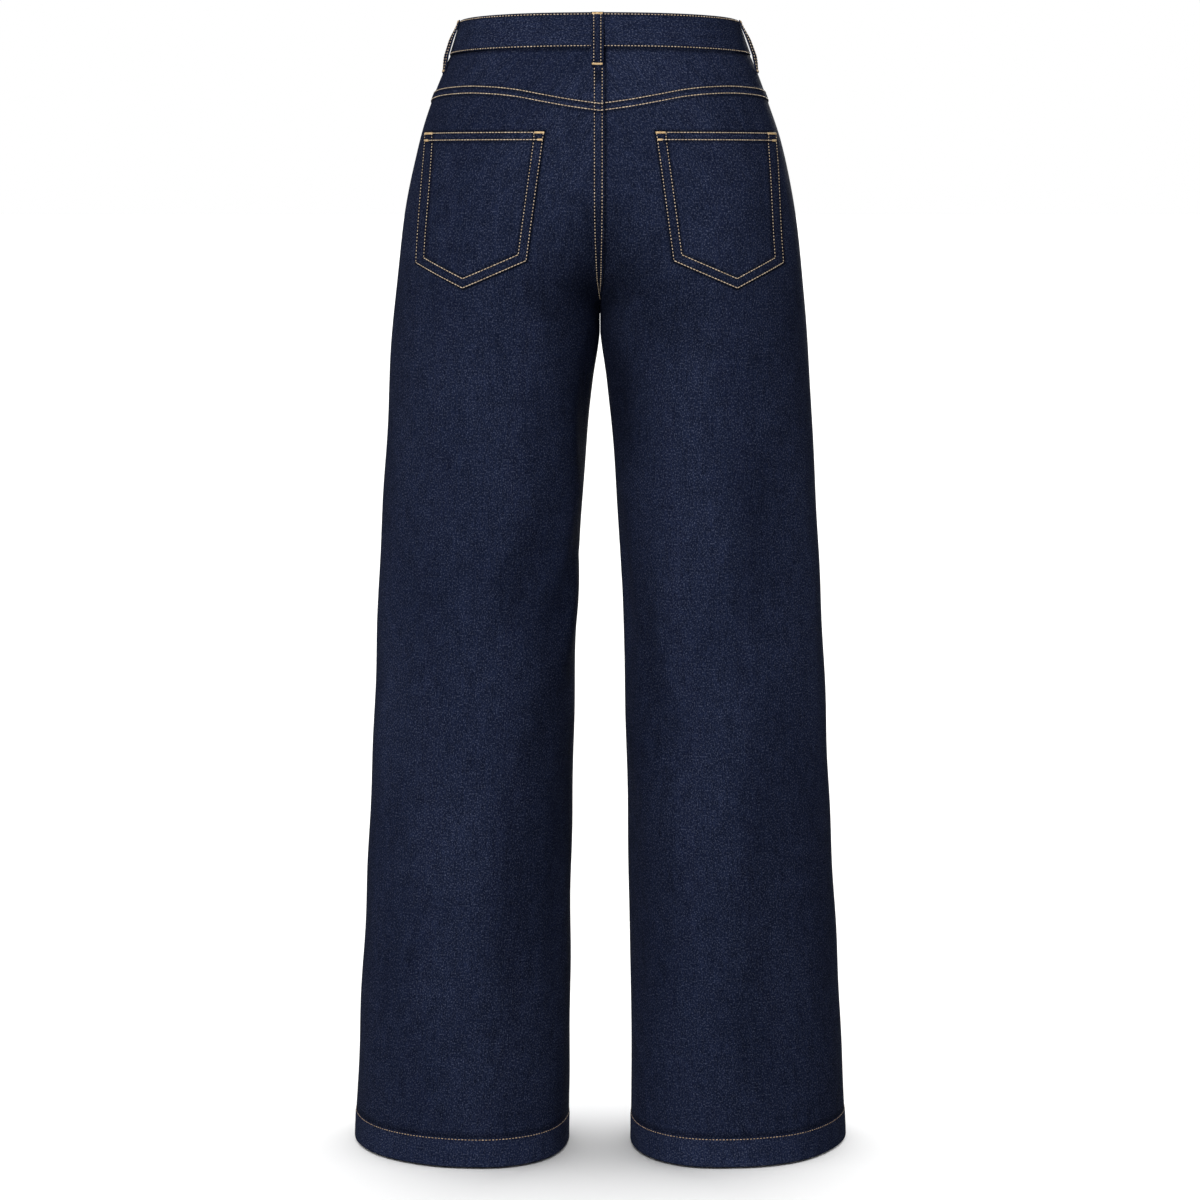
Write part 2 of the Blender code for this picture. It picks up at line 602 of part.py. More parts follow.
def front_strip(name, near, lift_out, lift_in, length, look):
    """A strip across the centre front, hanging from the waistband inside the fly."""
    top = below_band("front", np.abs(near) / FORM.across("front", BAND_WIDTH))
    drop = top + np.linspace(0.0, 1.0, 6)[:, None] * length
    outer = FORM.place_front(drop, near + 0.0 * drop, lift_out + 0.0 * drop)
    inner = FORM.place_front(drop, near + 0.0 * drop, lift_in + 0.0 * drop)
    return wall(name, outer, inner, look, flip=True)


def zip_and_shield():
    foot = CHAIN_HALF_WIDTH + CHAIN_EDGE
    near = np.array((-TAPE_HALF_WIDTH, -foot, -CHAIN_HALF_WIDTH, CHAIN_HALF_WIDTH, foot, TAPE_HALF_WIDTH))
    raised = np.where(np.abs(near) <= CHAIN_HALF_WIDTH, CHAIN_LIFT, TAPE_LIFT)
    front_strip("zip", near, raised, TAPE_LIFT - TAPE_THICKNESS, ZIP_LENGTH, "zip_tape")
    near = np.linspace(SHIELD_PAST_CENTRE - SHIELD_WIDTH, SHIELD_PAST_CENTRE, 6)
    lift = TAPE_LIFT - TAPE_THICKNESS - LINING_GAP
    front_strip("fly_shield", near, lift, lift - DENIM, SHIELD_LENGTH, "denim")


def front_frame(drop, from_centre):
    """Place, slope and direction of the front's face at a point near the centre."""
    here = FORM.place_front(np.array(drop), np.array(from_centre), np.array(0.0))
    below = FORM.place_front(np.array(drop + 0.01), np.array(from_centre), np.array(0.0))
    return here, math.atan2(below[1] - here[1], 0.01)


def zip_slider():
    """The slider's plate with its pull tab hanging down, behind the fly's edge."""
    outline = [*SLIDER_HALF_OUTLINE, *((-x, y) for x, y in reversed(SLIDER_HALF_OUTLINE))]
    curve = bpy.data.curves.new("zip_slider", "CURVE")
    curve.dimensions = "2D"
    curve.fill_mode = "BOTH"
    curve.extrude = SLIDER_THICKNESS / 2
    spline = curve.splines.new("POLY")
    spline.points.add(len(outline) - 1)
    for point, (x, y) in zip(spline.points, outline):
        point.co = (x, y, 0.0, 1.0)
    spline.use_cyclic_u = True
    flat = bpy.data.objects.new("zip_slider_outline", curve)
    bpy.context.scene.collection.objects.link(flat)
    bpy.context.view_layer.update()
    mesh = bpy.data.meshes.new_from_object(flat.evaluated_get(bpy.context.evaluated_depsgraph_get()))
    bpy.data.objects.remove(flat)
    bpy.data.curves.remove(curve)
    shape = bmesh.new()
    shape.from_mesh(mesh)
    bmesh.ops.remove_doubles(shape, verts=shape.verts[:], dist=1e-6)
    bmesh.ops.recalc_face_normals(shape, faces=shape.faces[:])
    shape.to_mesh(mesh)
    shape.free()
    slider = bpy.data.objects.new("zip_slider", mesh)
    here, slope = front_frame(BAND_WIDTH + FRONT_FALL + SLIDER_BELOW_BAND, 0.0)
    slider.location = here[0], here[1] + SLIDER_LIFT - SLIDER_THICKNESS / 2, here[2]
    slider.rotation_euler = (math.pi / 2 - slope, 0.0, math.pi)
    finish(slider, "antique_metal")


def waist_button(band):
    """A shank button on the buttonhole end, its post through the hole to the end below."""
    drop = BAND_WIDTH / 2 + FRONT_FALL
    here, slope = front_frame(drop, -BUTTON_FROM_EDGE)
    under = BAND_PROUD - UNDER_END_STEP + SEAM_GAP
    head = BAND_PROUD + SEAM_GAP
    profile = [(radius, head + height) for radius, height in BUTTON_HEAD]
    profile += [(BUTTON_POST_RADIUS, head), (BUTTON_POST_RADIUS, under), (0.0, under)]
    mesh = bpy.data.meshes.new("waist_button")
    mesh.from_pydata([(x, 0.0, z) for x, z in profile], [(i, i + 1) for i in range(len(profile) - 1)], [])
    button = bpy.data.objects.new("waist_button", mesh)
    finish(button, "antique_metal")
    turn = button.modifiers.new("turned", "SCREW")
    turn.steps = BUTTON_SEGMENTS
    turn.render_steps = BUTTON_SEGMENTS
    turn.use_merge_vertices = True
    turn.merge_threshold = 0.00001
    button.location = here
    button.rotation_euler = (-math.pi / 2 + slope, 0.0, 0.0)
    bpy.ops.mesh.primitive_cylinder_add(
        vertices=BUTTON_SEGMENTS, radius=BUTTON_HOLE_RADIUS, depth=CUTTER_DEPTH)
    cutter = finish(bpy.context.object, None, "cutters")
    cutter.name = "buttonhole_cutter"
    for vertex in cutter.data.vertices:
        vertex.co.z += CUTTER_DEPTH / 2 + under - SEAM_GAP / 2
    cutter.location = here
    cutter.rotation_euler = button.rotation_euler
    cutter.hide_render = True
    cutter.display_type = "WIRE"
    hole = band.modifiers.new("buttonhole", "BOOLEAN")
    hole.operation = "DIFFERENCE"
    hole.object = cutter


def build():
    for obj in list(bpy.data.objects):
        bpy.data.objects.remove(obj)
    for side in (-1, 1):
        back_panel(side)
        front_panel(side)
        yoke(side)
        back_pocket(side)
        front_pocket_facing(side)
        side_loop = LOOP_SIDE_ALONG * FORM.across("back", BAND_WIDTH)
        belt_loop(side_name("belt_loop_side", side), side, "back", side_loop, LOOP_SIDE_TILT)
        belt_loop(side_name("belt_loop_front", side), side, "front", LOOP_FRONT_FROM_CENTRE)
    belt_loop("belt_loop_back", 1, "back", 0.0)
    band = waistband()
    fly_facing()
    zip_and_shield()
    zip_slider()
    waist_button(band)


FORM = Form()
build()
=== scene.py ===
import math
from functools import partial

import bpy
import numpy as np
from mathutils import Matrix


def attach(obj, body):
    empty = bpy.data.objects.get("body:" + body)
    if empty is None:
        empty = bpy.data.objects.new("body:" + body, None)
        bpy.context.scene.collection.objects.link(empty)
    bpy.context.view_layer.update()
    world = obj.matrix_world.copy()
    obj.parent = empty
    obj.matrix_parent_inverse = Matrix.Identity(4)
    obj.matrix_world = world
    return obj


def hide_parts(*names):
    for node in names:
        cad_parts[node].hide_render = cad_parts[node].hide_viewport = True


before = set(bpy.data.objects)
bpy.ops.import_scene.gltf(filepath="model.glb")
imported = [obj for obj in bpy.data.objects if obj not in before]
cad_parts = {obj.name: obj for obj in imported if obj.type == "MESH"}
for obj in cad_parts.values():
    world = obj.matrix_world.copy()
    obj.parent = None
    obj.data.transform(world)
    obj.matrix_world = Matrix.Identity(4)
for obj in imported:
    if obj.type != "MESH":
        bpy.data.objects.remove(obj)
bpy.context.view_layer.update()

print("frame:", len(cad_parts), "nodes")

mm = 0.001
rng = np.random.default_rng(7)

# The cut, in metres, as the solids have it. A drop is a depth below the middle of the waist opening,
# near is a distance round the cloth from the centre seam or inseam, and lift is a distance out from it.
cut = {
    "bandWidth": 0.0315, "backRise": 0.0044, "frontFall": 0.0110, "waistPower": 1.4,
    "bandProud": 0.0006, "bandThick": 0.0026, "underEnd": 0.034, "underStep": 0.0031,
    "underRamp": 0.030, "underRampStop": 0.004,
    "length": 1.0556, "crotch": 0.2720, "hem": 0.0278, "hemProud": 0.0006, "hemThick": 0.0026,
    "backCurve": 0.145, "frontCurve": 0.170, "softening": 0.045, "sharpness": 0.35,
    "dipTop": 0.001, "dip": 0.020, "sideForward": 0.010,
    "scoopWidth": 0.098, "scoopDepth": 0.078, "scoopPower": 1.8, "facingBelow": 0.030,
    "denim": 0.0012, "gap": 0.0003, "lining": 0.0005, "facing": 0.0014,
}

# The form: how far out each section reaches to the side, back, front and inside, and where.
sectionNames = ("drop", "outX", "outY", "backX", "backY", "frontX", "frontY", "inX", "inY", "square")
sections = (
    (-0.012, 0.1256, 0.000, 0.020, -0.0930, 0.020, 0.0880, 0.0000, 0.000, 2.40),
    (0.0000, 0.1283, 0.000, 0.020, -0.0950, 0.020, 0.0890, 0.0000, 0.000, 2.40),
    (0.0320, 0.1388, 0.000, 0.022, -0.1010, 0.022, 0.0940, 0.0000, 0.000, 2.38),
    (0.0500, 0.1466, 0.000, 0.027, -0.1068, 0.025, 0.0971, 0.0000, 0.000, 2.36),
    (0.0700, 0.1546, 0.000, 0.034, -0.1130, 0.030, 0.1000, 0.0000, 0.000, 2.34),
    (0.1100, 0.1679, -0.002, 0.052, -0.1250, 0.042, 0.1040, 0.0000, 0.000, 2.30),
    (0.1600, 0.1783, -0.004, 0.070, -0.1340, 0.062, 0.1060, 0.0000, -0.002, 2.25),
    (0.2100, 0.1851, -0.007, 0.081, -0.1345, 0.078, 0.1065, 0.0000, -0.003, 2.18),
    (0.2720, 0.1918, -0.010, 0.089, -0.1270, 0.094, 0.1060, 0.0000, -0.004, 2.10),
    (0.3300, 0.1958, -0.010, 0.095, -0.1185, 0.104, 0.1045, 0.0065, -0.005, 2.06),
    (0.4240, 0.2015, -0.008, 0.102, -0.1110, 0.114, 0.1015, 0.0150, -0.006, 2.04),
    (0.5660, 0.2094, -0.004, 0.108, -0.1060, 0.125, 0.0990, 0.0222, -0.007, 2.04),
    (0.7600, 0.2191, 0.001, 0.111, -0.1045, 0.136, 0.1000, 0.0268, -0.007, 2.05),
    (0.9500, 0.2304, 0.009, 0.110, -0.1060, 0.148, 0.1035, 0.0290, -0.008, 2.09),
    (1.0600, 0.2360, 0.017, 0.109, -0.1075, 0.153, 0.1060, 0.0294, -0.006, 2.12),
)

# The yoke seam: a share of the way round from the centre back to the side seam, and how far down it is.
yokeTable = ((0.00, 0.0802), (0.12, 0.0763), (0.23, 0.0717), (0.33, 0.0674), (0.42, 0.0652),
             (0.53, 0.0641), (0.66, 0.0649), (0.83, 0.0674), (1.00, 0.0696))

# Soft folds by side (1 is the wearer's right) and part, each along a line: from drop and near, to drop and
# near, breadth and lift. The finer ones, which run out of the crotch, are only here and not in the solids.
folds = {
    (-1, "back"): (
        (0.470, 0.020, 0.585, 0.088, 0.021, -0.0034),
        (0.520, 0.012, 0.640, 0.090, 0.020, 0.0026),
        (0.640, 0.036, 0.930, 0.062, 0.026, -0.0030),
        (0.300, 0.040, 0.400, 0.030, 0.022, -0.0030),
        (0.232, 0.018, 0.190, 0.070, 0.0075, -0.0011),
        (0.250, 0.030, 0.226, 0.086, 0.0080, -0.0012),
    ),
    (1, "back"): (
        (0.455, 0.022, 0.590, 0.040, 0.020, -0.0034),
        (0.575, 0.045, 0.690, 0.078, 0.021, 0.0026),
        (0.700, 0.030, 0.930, 0.052, 0.026, -0.0028),
        (0.305, 0.062, 0.400, 0.044, 0.018, -0.0026),
        (0.430, 0.205, 0.640, 0.190, 0.030, -0.0026),
        (0.236, 0.016, 0.198, 0.062, 0.0070, -0.0012),
        (0.256, 0.034, 0.240, 0.092, 0.0080, -0.0011),
    ),
    (-1, "front"): (
        (0.290, 0.030, 0.380, 0.075, 0.022, -0.0032),
        (0.500, 0.020, 0.600, 0.090, 0.022, -0.0030),
        (0.640, 0.150, 0.860, 0.120, 0.030, -0.0026),
        (0.225, 0.012, 0.196, 0.070, 0.0080, -0.0013),
        (0.250, 0.030, 0.240, 0.096, 0.0085, -0.0012),
    ),
    (1, "front"): (
        (0.295, 0.034, 0.370, 0.088, 0.022, -0.0032),
        (0.520, 0.030, 0.610, 0.105, 0.022, -0.0030),
        (0.700, 0.120, 0.900, 0.145, 0.030, -0.0026),
        (0.228, 0.014, 0.206, 0.076, 0.0080, -0.0013),
        (0.252, 0.028, 0.238, 0.090, 0.0085, -0.0012),
    ),
}

# Where the denim is lighter and darker, along lines laid out as the folds' are: partly wear, partly painted
# shade in the crotch and hollows and painted light along the ridges.
# The last number is how much lighter, as a power of e.
shadeAndWearLines = {
    (-1, "back"): (
        (0.170, 0.003, 0.262, 0.008, 0.024, -0.55),
        (0.262, 0.012, 0.205, 0.056, 0.015, -0.34),
        (0.262, 0.020, 0.232, 0.082, 0.012, -0.26),
        (0.245, 0.070, 0.285, 0.118, 0.017, -0.40),
        (0.292, 0.052, 0.325, 0.030, 0.022, 0.45),
        (0.420, 0.045, 0.510, 0.062, 0.026, 0.60),
        (0.430, 0.098, 0.545, 0.128, 0.017, -0.38),
        (0.570, 0.066, 0.680, 0.098, 0.018, -0.42),
        (0.600, 0.012, 0.640, 0.030, 0.020, 0.50),
        (0.700, 0.104, 0.980, 0.122, 0.024, -0.42),
        (0.730, 0.045, 0.960, 0.040, 0.022, 0.26),
        (0.440, 0.250, 0.930, 0.264, 0.022, 0.26),
        (0.060, 0.215, 0.210, 0.235, 0.046, 0.28),
    ),
    (1, "back"): (
        (0.170, 0.003, 0.262, 0.010, 0.024, -0.60),
        (0.262, 0.014, 0.202, 0.058, 0.016, -0.38),
        (0.264, 0.024, 0.238, 0.090, 0.013, -0.30),
        (0.275, 0.060, 0.390, 0.040, 0.044, -0.48),
        (0.255, 0.085, 0.287, 0.165, 0.018, -0.34),
        (0.085, 0.180, 0.230, 0.206, 0.024, 0.42),
        (0.500, 0.070, 0.640, 0.082, 0.017, -0.34),
        (0.450, 0.014, 0.630, 0.022, 0.022, 0.28),
        (0.385, 0.205, 0.520, 0.172, 0.022, -0.24),
        (0.690, 0.185, 0.990, 0.168, 0.026, -0.36),
        (0.640, 0.086, 0.880, 0.092, 0.015, -0.24),
        (0.420, 0.250, 0.720, 0.262, 0.020, 0.30),
        (0.985, 0.012, 1.035, 0.034, 0.022, 0.32),
    ),
    (-1, "front"): (
        (0.190, 0.010, 0.262, 0.014, 0.030, -0.50),
        (0.330, 0.120, 0.620, 0.132, 0.040, 0.28),
        (0.440, 0.060, 0.560, 0.085, 0.020, -0.32),
        (0.700, 0.180, 0.950, 0.165, 0.026, -0.30),
    ),
    (1, "front"): (
        (0.190, 0.010, 0.262, 0.014, 0.030, -0.50),
        (0.350, 0.130, 0.600, 0.120, 0.040, 0.28),
        (0.600, 0.070, 0.760, 0.095, 0.020, -0.32),
        (0.780, 0.170, 0.980, 0.185, 0.026, -0.30),
    ),
}


def ease(value):
    value = np.clip(value, 0.0, 1.0)
    return value * value * (3.0 - 2.0 * value)


def smooth(known, values, places):  # a monotone cubic through known values
    known, values = np.array(known), np.array(values)
    steps = np.diff(known)
    slopes = np.diff(values) / steps
    tangents = np.zeros(len(known))
    tangents[0], tangents[-1] = slopes[0], slopes[-1]
    for i in range(1, len(known) - 1):
        before, after = slopes[i - 1], slopes[i]
        if before * after > 0.0:
            first = 2 * steps[i] + steps[i - 1]
            second = steps[i] + 2 * steps[i - 1]
            tangents[i] = (first + second) / (first / before + second / after)
    at = np.clip(np.searchsorted(known, places, side="right") - 1, 0, len(steps) - 1)
    step = steps[at]
    share = (places - known[at]) / step
    rest = 1.0 - share
    start = (1 + 2 * share) * rest ** 2 * values[at] + share * rest ** 2 * step * tangents[at]
    end = (3 - 2 * share) * share ** 2 * values[at + 1]
    return start + end - rest * share ** 2 * step * tangents[at + 1]


def centreDepth(drop, start, reach, inner):  # the centre seam, down round the crotch curve
    into = (drop - cut["bandWidth"]) / (start - cut["bandWidth"])
    dip = cut["dipTop"] + cut["dip"] * min(max(into, 0.0), 1.0) ** 2
    share = min(max((drop - start) / (cut["crotch"] - start), 0.0), 1.0)
    close = min((cut["crotch"] - drop) / cut["softening"], 1.0)
    soft = cut["sharpness"] + (1.0 - cut["sharpness"]) * close ** 2 * (3.0 - 2.0 * close)
    return inner + (reach - inner) * (1.0 - dip) * math.sqrt((1.0 - share ** 2) * soft)


def quarter(centre, reach, angles, square):
    power = 2.0 / square
    across = np.clip(np.cos(angles), 0.0, 1.0) ** power
    deep = np.clip(np.sin(angles), 0.0, 1.0) ** power
    return np.column_stack((centre[0] + reach[0] * across, centre[1] + reach[1] * deep))


def sectionOutline(row, count=60):  # half a section, from the back's inner end to the front's
    right = math.pi / 2
    power = 2.0 / row["square"]
    ends = []
    for part in ("back", "front"):
        middle, reach = row[part + "X"], row[part + "Y"]
        if row["drop"] >= cut["crotch"]:
            ends.append((0.0, middle - row["inX"]))
            continue
        seam = centreDepth(row["drop"], cut[part + "Curve"], reach, row["inY"])
        angle = math.asin(((seam - row["inY"]) / (reach - row["inY"])) ** (1 / power))
        ends.append((angle, middle / math.cos(angle) ** power))
    (backAngle, backIn), (frontAngle, frontIn) = ends
    square = row["square"]
    quarters = (
        quarter((row["backX"], row["inY"]), (-backIn, row["backY"] - row["inY"]),
                np.linspace(backAngle, right, count), square),
        quarter((row["backX"], row["outY"]), (row["outX"] - row["backX"], row["backY"] - row["outY"]),
                np.linspace(right, 0.0, count), square),
        quarter((row["frontX"], row["outY"]), (row["outX"] - row["frontX"], row["frontY"] - row["outY"]),
                np.linspace(0.0, right, count), square),
        quarter((row["frontX"], row["inY"]), (-frontIn, row["frontY"] - row["inY"]),
                np.linspace(right, frontAngle, count), square),
    )
    return np.vstack((quarters[0], quarters[1][1:], quarters[2][1:], quarters[3][1:])), 2 * count - 2


class Form:  # the cloth's face on the wearer's right, as a fine table of points and outward directions
    def __init__(self):
        off = np.linspace(-1.0, 1.0, 121)
        nearCrotch = cut["crotch"] + 0.06 * np.sign(off) * off ** 2
        even = np.linspace(sections[0][0], sections[-1][0], 420)
        self.drops = np.unique(np.concatenate((even, nearCrotch)).round(7))
        known = dict(zip(sectionNames, zip(*sections)))
        columns = {name: smooth(known["drop"], known[name], self.drops) for name in sectionNames}
        self.points, self.widths, self.outward = {"back": [], "front": []}, {"back": [], "front": []}, {}
        for i in range(len(self.drops)):
            outline, middle = sectionOutline({name: columns[name][i] for name in sectionNames})
            lengths = np.concatenate(([0.0], np.cumsum(np.hypot(*np.diff(outline, axis=0).T))))
            seam = lengths[middle] + cut["sideForward"]
            seamPoint = [np.interp(seam, lengths, outline[:, axis]) for axis in (0, 1)]
            for part, piece in (("back", outline[lengths <= seam]), ("front", outline[lengths >= seam][::-1])):
                piece = np.vstack((piece, seamPoint))
                run = np.concatenate(([0.0], np.cumsum(np.hypot(*np.diff(piece, axis=0).T))))
                places = np.linspace(0.0, run[-1], 241)
                self.points[part].append(np.column_stack([np.interp(places, run, piece[:, k]) for k in (0, 1)]))
                self.widths[part].append(run[-1])
        for part, turn in (("back", 1.0), ("front", -1.0)):
            self.points[part] = np.array(self.points[part])
            self.widths[part] = np.array(self.widths[part])
            heading = np.gradient(self.points[part], axis=1)
            heading /= np.linalg.norm(heading, axis=2, keepdims=True)
            self.outward[part] = turn * np.stack((heading[..., 1], -heading[..., 0]), axis=2)

    def width(self, part, drop):
        return np.interp(drop, self.drops, self.widths[part])

    def sample(self, table, drop, along):
        row = np.clip(np.searchsorted(self.drops, drop, side="right") - 1, 0, len(self.drops) - 2)
        down = ((drop - self.drops[row]) / (self.drops[row + 1] - self.drops[row]))[..., None]
        place = np.clip(along, 0.0, 1.0) * (table.shape[1] - 1)
        column = np.clip(place.astype(int), 0, table.shape[1] - 2)
        over = (place - column)[..., None]
        upper = table[row, column] * (1 - over) + table[row, column + 1] * over
        lower = table[row + 1, column] * (1 - over) + table[row + 1, column + 1] * over
        return upper * (1 - down) + lower * down

    def nearAt(self, part, drop, out):  # where the form is so far out from the middle plane
        shares = np.linspace(0.0, 1.0, self.points[part].shape[1])
        found = []
        for level, reach in zip(np.ravel(drop), np.ravel(out)):
            reaches = self.sample(self.points[part][..., :1], np.full(shares.shape, level), shares)
            found.append(np.interp(reach, reaches[..., 0], shares) * self.width(part, level))
        return np.reshape(found, np.shape(drop))


form = Form()

# Slow unevenness of the cloth, by place: direction, wavelength and start of each wave.
waves = [(rng.normal(size=3) * (1.0, 1.0, 0.6), rng.uniform(0.05, 0.15), rng.uniform(0, 6.3)) for _ in range(9)]
waveLift = 0.00022


def alongLines(lines, side, part, drop, near):
    total = np.zeros(np.shape(near))
    for fromDrop, fromNear, toDrop, toNear, breadth, amount in lines[side, part]:
        run = np.array((toDrop - fromDrop, toNear - fromNear))
        length = np.hypot(*run)
        run = run / length
        down, over = drop - fromDrop, near - fromNear
        share = (down * run[0] + over * run[1]) / length
        offLine = over * run[0] - down * run[1]
        ends = np.clip(1.0 - (2.0 * np.clip(share, -0.2, 1.2) - 1.0) ** 2 / 1.96, 0.0, 1.0)
        total = total + amount * ends * np.exp(-(offLine / breadth) ** 2)
    return total


def foldLift(side, part, drop, near):
    return alongLines(folds, side, part, drop, near)


# Wear, painted shade and painted light from the lines above, by place.
def shadeAndWearAt(side, part, drop, near):
    return alongLines(shadeAndWearLines, side, part, drop, np.abs(near))


def place(side, part, drop, near, lift=0.0):  # below zero, near is across the middle on the other side
    drop, near, lift = np.broadcast_arrays(*(np.asarray(value, float) for value in (drop, near, lift)))
    out = np.abs(near)
    across = np.where(near < 0, -side, side)
    along = out / form.width(part, drop)
    flat = form.sample(form.points[part], drop, along)
    facing = form.sample(form.outward[part], drop, along)
    lift = lift + np.where(near < 0, foldLift(-side, part, drop, out), foldLift(side, part, drop, out))
    spot = np.stack((across * flat[..., 0], flat[..., 1], -drop), axis=-1)
    for direction, wavelength, start in waves:
        direction = direction / np.linalg.norm(direction)
        lift = lift + waveLift * np.sin(2 * math.pi * (spot @ direction) / wavelength + start)
    flat = flat + facing * lift[..., None]
    reach = np.where(near < 0, flat[..., 0], np.maximum(flat[..., 0], cut["gap"] / 2))
    return np.stack((across * reach, flat[..., 1], -drop), axis=-1)


def waistLine(part, near, drop=None):  # the waistband's top edge above the origin
    along = np.abs(near) / form.width(part, cut["bandWidth"] if drop is None else drop)
    share = np.cos(np.clip(along, 0.0, 1.0) * math.pi / 2) ** cut["waistPower"]
    return cut["backRise"] * share if part == "back" else -cut["frontFall"] * share


def belowBand(part, near):
    return cut["bandWidth"] - waistLine(part, near) + cut["gap"]


def yokeLine(near):
    along = np.clip(np.abs(near) / form.width("back", yokeTable[-1][1]), 0.0, 1.0)
    return smooth(*zip(*yokeTable), along)


def scoopLine(near):  # how far the front pocket's opening cuts below the waistband
    width = form.width("front", cut["bandWidth"] + cut["frontFall"] / 2)
    into = np.clip((near - width) / cut["scoopWidth"] + 1.0, 0.0, 1.0)
    return cut["scoopDepth"] * (1.0 - (1.0 - into) ** cut["scoopPower"]) ** (1.0 / cut["scoopPower"])


def roll(distance, radius, depth):  # a turned edge, which falls away over its last millimetre
    short = np.clip(1.0 - distance / radius, 0.0, 1.0)
    return -depth * (1.0 - np.sqrt(1.0 - short ** 2))


def ridge(distance, breadth):
    return np.exp(-(distance / breadth) ** 2)


def puckers(near, pitch, wander, drift, start=0.0):  # uneven ripples along a sewn edge
    return np.sin(near * 2 * math.pi / pitch + wander * np.sin(near * drift) + start)


def dents(distance, rows, depth=0.26 * mm, breadth=0.9 * mm):  # rows of stitches pull the cloth in
    return -depth * sum(ridge(distance - row, breadth) for row in rows)


# Painted shade in the grooves that stitches, laps and turned edges leave, and painted shadows beside laps and
# under the waistband, as powers of e.
paintedGrooveShade = {"stitch": -0.75, "breadth": 1.0 * mm, "lap": -1.1, "yokeLap": -0.6, "belowBand": -0.9, "edge": -0.8,
          "fold": -0.6}


# Painted shade along the dents of rows of stitches.
def paintedStitchShade(distance, rows):
    return paintedGrooveShade["stitch"] * sum(ridge(distance - row, paintedGrooveShade["breadth"]) for row in rows)


def spread(start, end, count, startSteps=(), endSteps=()):
    # Places from start to end, the first and last ones at the given distances from the ends.
    first, last = np.array((0.0, *startSteps)), np.array((0.0, *endSteps))[::-1]
    free = np.linspace(0.0, 1.0, count)[1:-1]
    share = np.concatenate((np.zeros(len(first)), free, np.ones(len(last))))
    offset = np.concatenate((first, first[-1] * (1.0 - free) - last[0] * free, -last))
    return start + (end - start) * share + offset


def steps(*distances):
    return tuple(distance * mm for distance in distances)


# Shader maths. A Shade is one output of a node, and arithmetic on it adds Math nodes.
class Shade:
    def __init__(self, finish, socket):
        self.finish, self.socket = finish, socket

    def maths(self, operation, *values):
        return self.finish.node("ShaderNodeMath", {"operation": operation}, dict(enumerate(values)))

    def __add__(self, other):
        return self.maths("ADD", self, other)

    def __sub__(self, other):
        return self.maths("SUBTRACT", self, other)

    def __mul__(self, other):
        return self.maths("MULTIPLY", self, other)

    def __radd__(self, other):
        return self.maths("ADD", other, self)

    def __rsub__(self, other):
        return self.maths("SUBTRACT", other, self)

    def __rmul__(self, other):
        return self.maths("MULTIPLY", other, self)

    def sine(self):
        return self.maths("SINE", self)

    def between(self, low, high):  # 0 at low, 1 at high, straight between
        return self.finish.node("ShaderNodeMapRange", {"clamp": True}, {0: self, 1: low, 2: high})


class Finish:
    def __init__(self, name, colour, roughness, **uniform):
        self.material = bpy.data.materials.new(name)
        self.material.use_nodes = True
        self.tree = self.material.node_tree
        self.shader = self.tree.nodes["Principled BSDF"]
        self.shader.inputs["Base Color"].default_value = (*colour, 1.0)
        self.shader.inputs["Roughness"].default_value = roughness
        for socket, value in uniform.items():
            self.shader.inputs[socket.replace("_", " ")].default_value = value

    def node(self, kind, settings, inputs, output=0):
        made = self.tree.nodes.new(kind)
        for name, value in settings.items():
            setattr(made, name, value)
        for key, value in inputs.items():
            if isinstance(value, Shade):
                self.tree.links.new(value.socket, made.inputs[key])
            else:
                made.inputs[key].default_value = value
        return Shade(self, made.outputs[output])

    def scaled(self, vector, scale):
        return self.node("ShaderNodeVectorMath", {"operation": "MULTIPLY"}, {0: vector, 1: scale})

    def noise(self, vector, scale, detail=2.0, roughness=0.5):
        settings = {"noise_dimensions": "3D"}
        return self.node("ShaderNodeTexNoise", settings,
                         {"Vector": self.scaled(vector, scale), "Scale": 1.0, "Detail": detail,
                          "Roughness": roughness})

    def blend(self, factor, first, second):  # colours, each a triple or a Shade
        values = [value if isinstance(value, Shade) else (*value, 1.0) for value in (first, second)]
        return self.node("ShaderNodeMix", {"data_type": "RGBA"}, {0: factor, 6: values[0], 7: values[1]}, 2)

    def feed(self, **values):
        for name, value in values.items():
            self.tree.links.new(value.socket, self.shader.inputs[name.replace("_", " ")])
        return self.material

    def bump(self, height, distance, strength):
        return self.node("ShaderNodeBump", {}, {"Height": height, "Distance": distance, "Strength": strength})


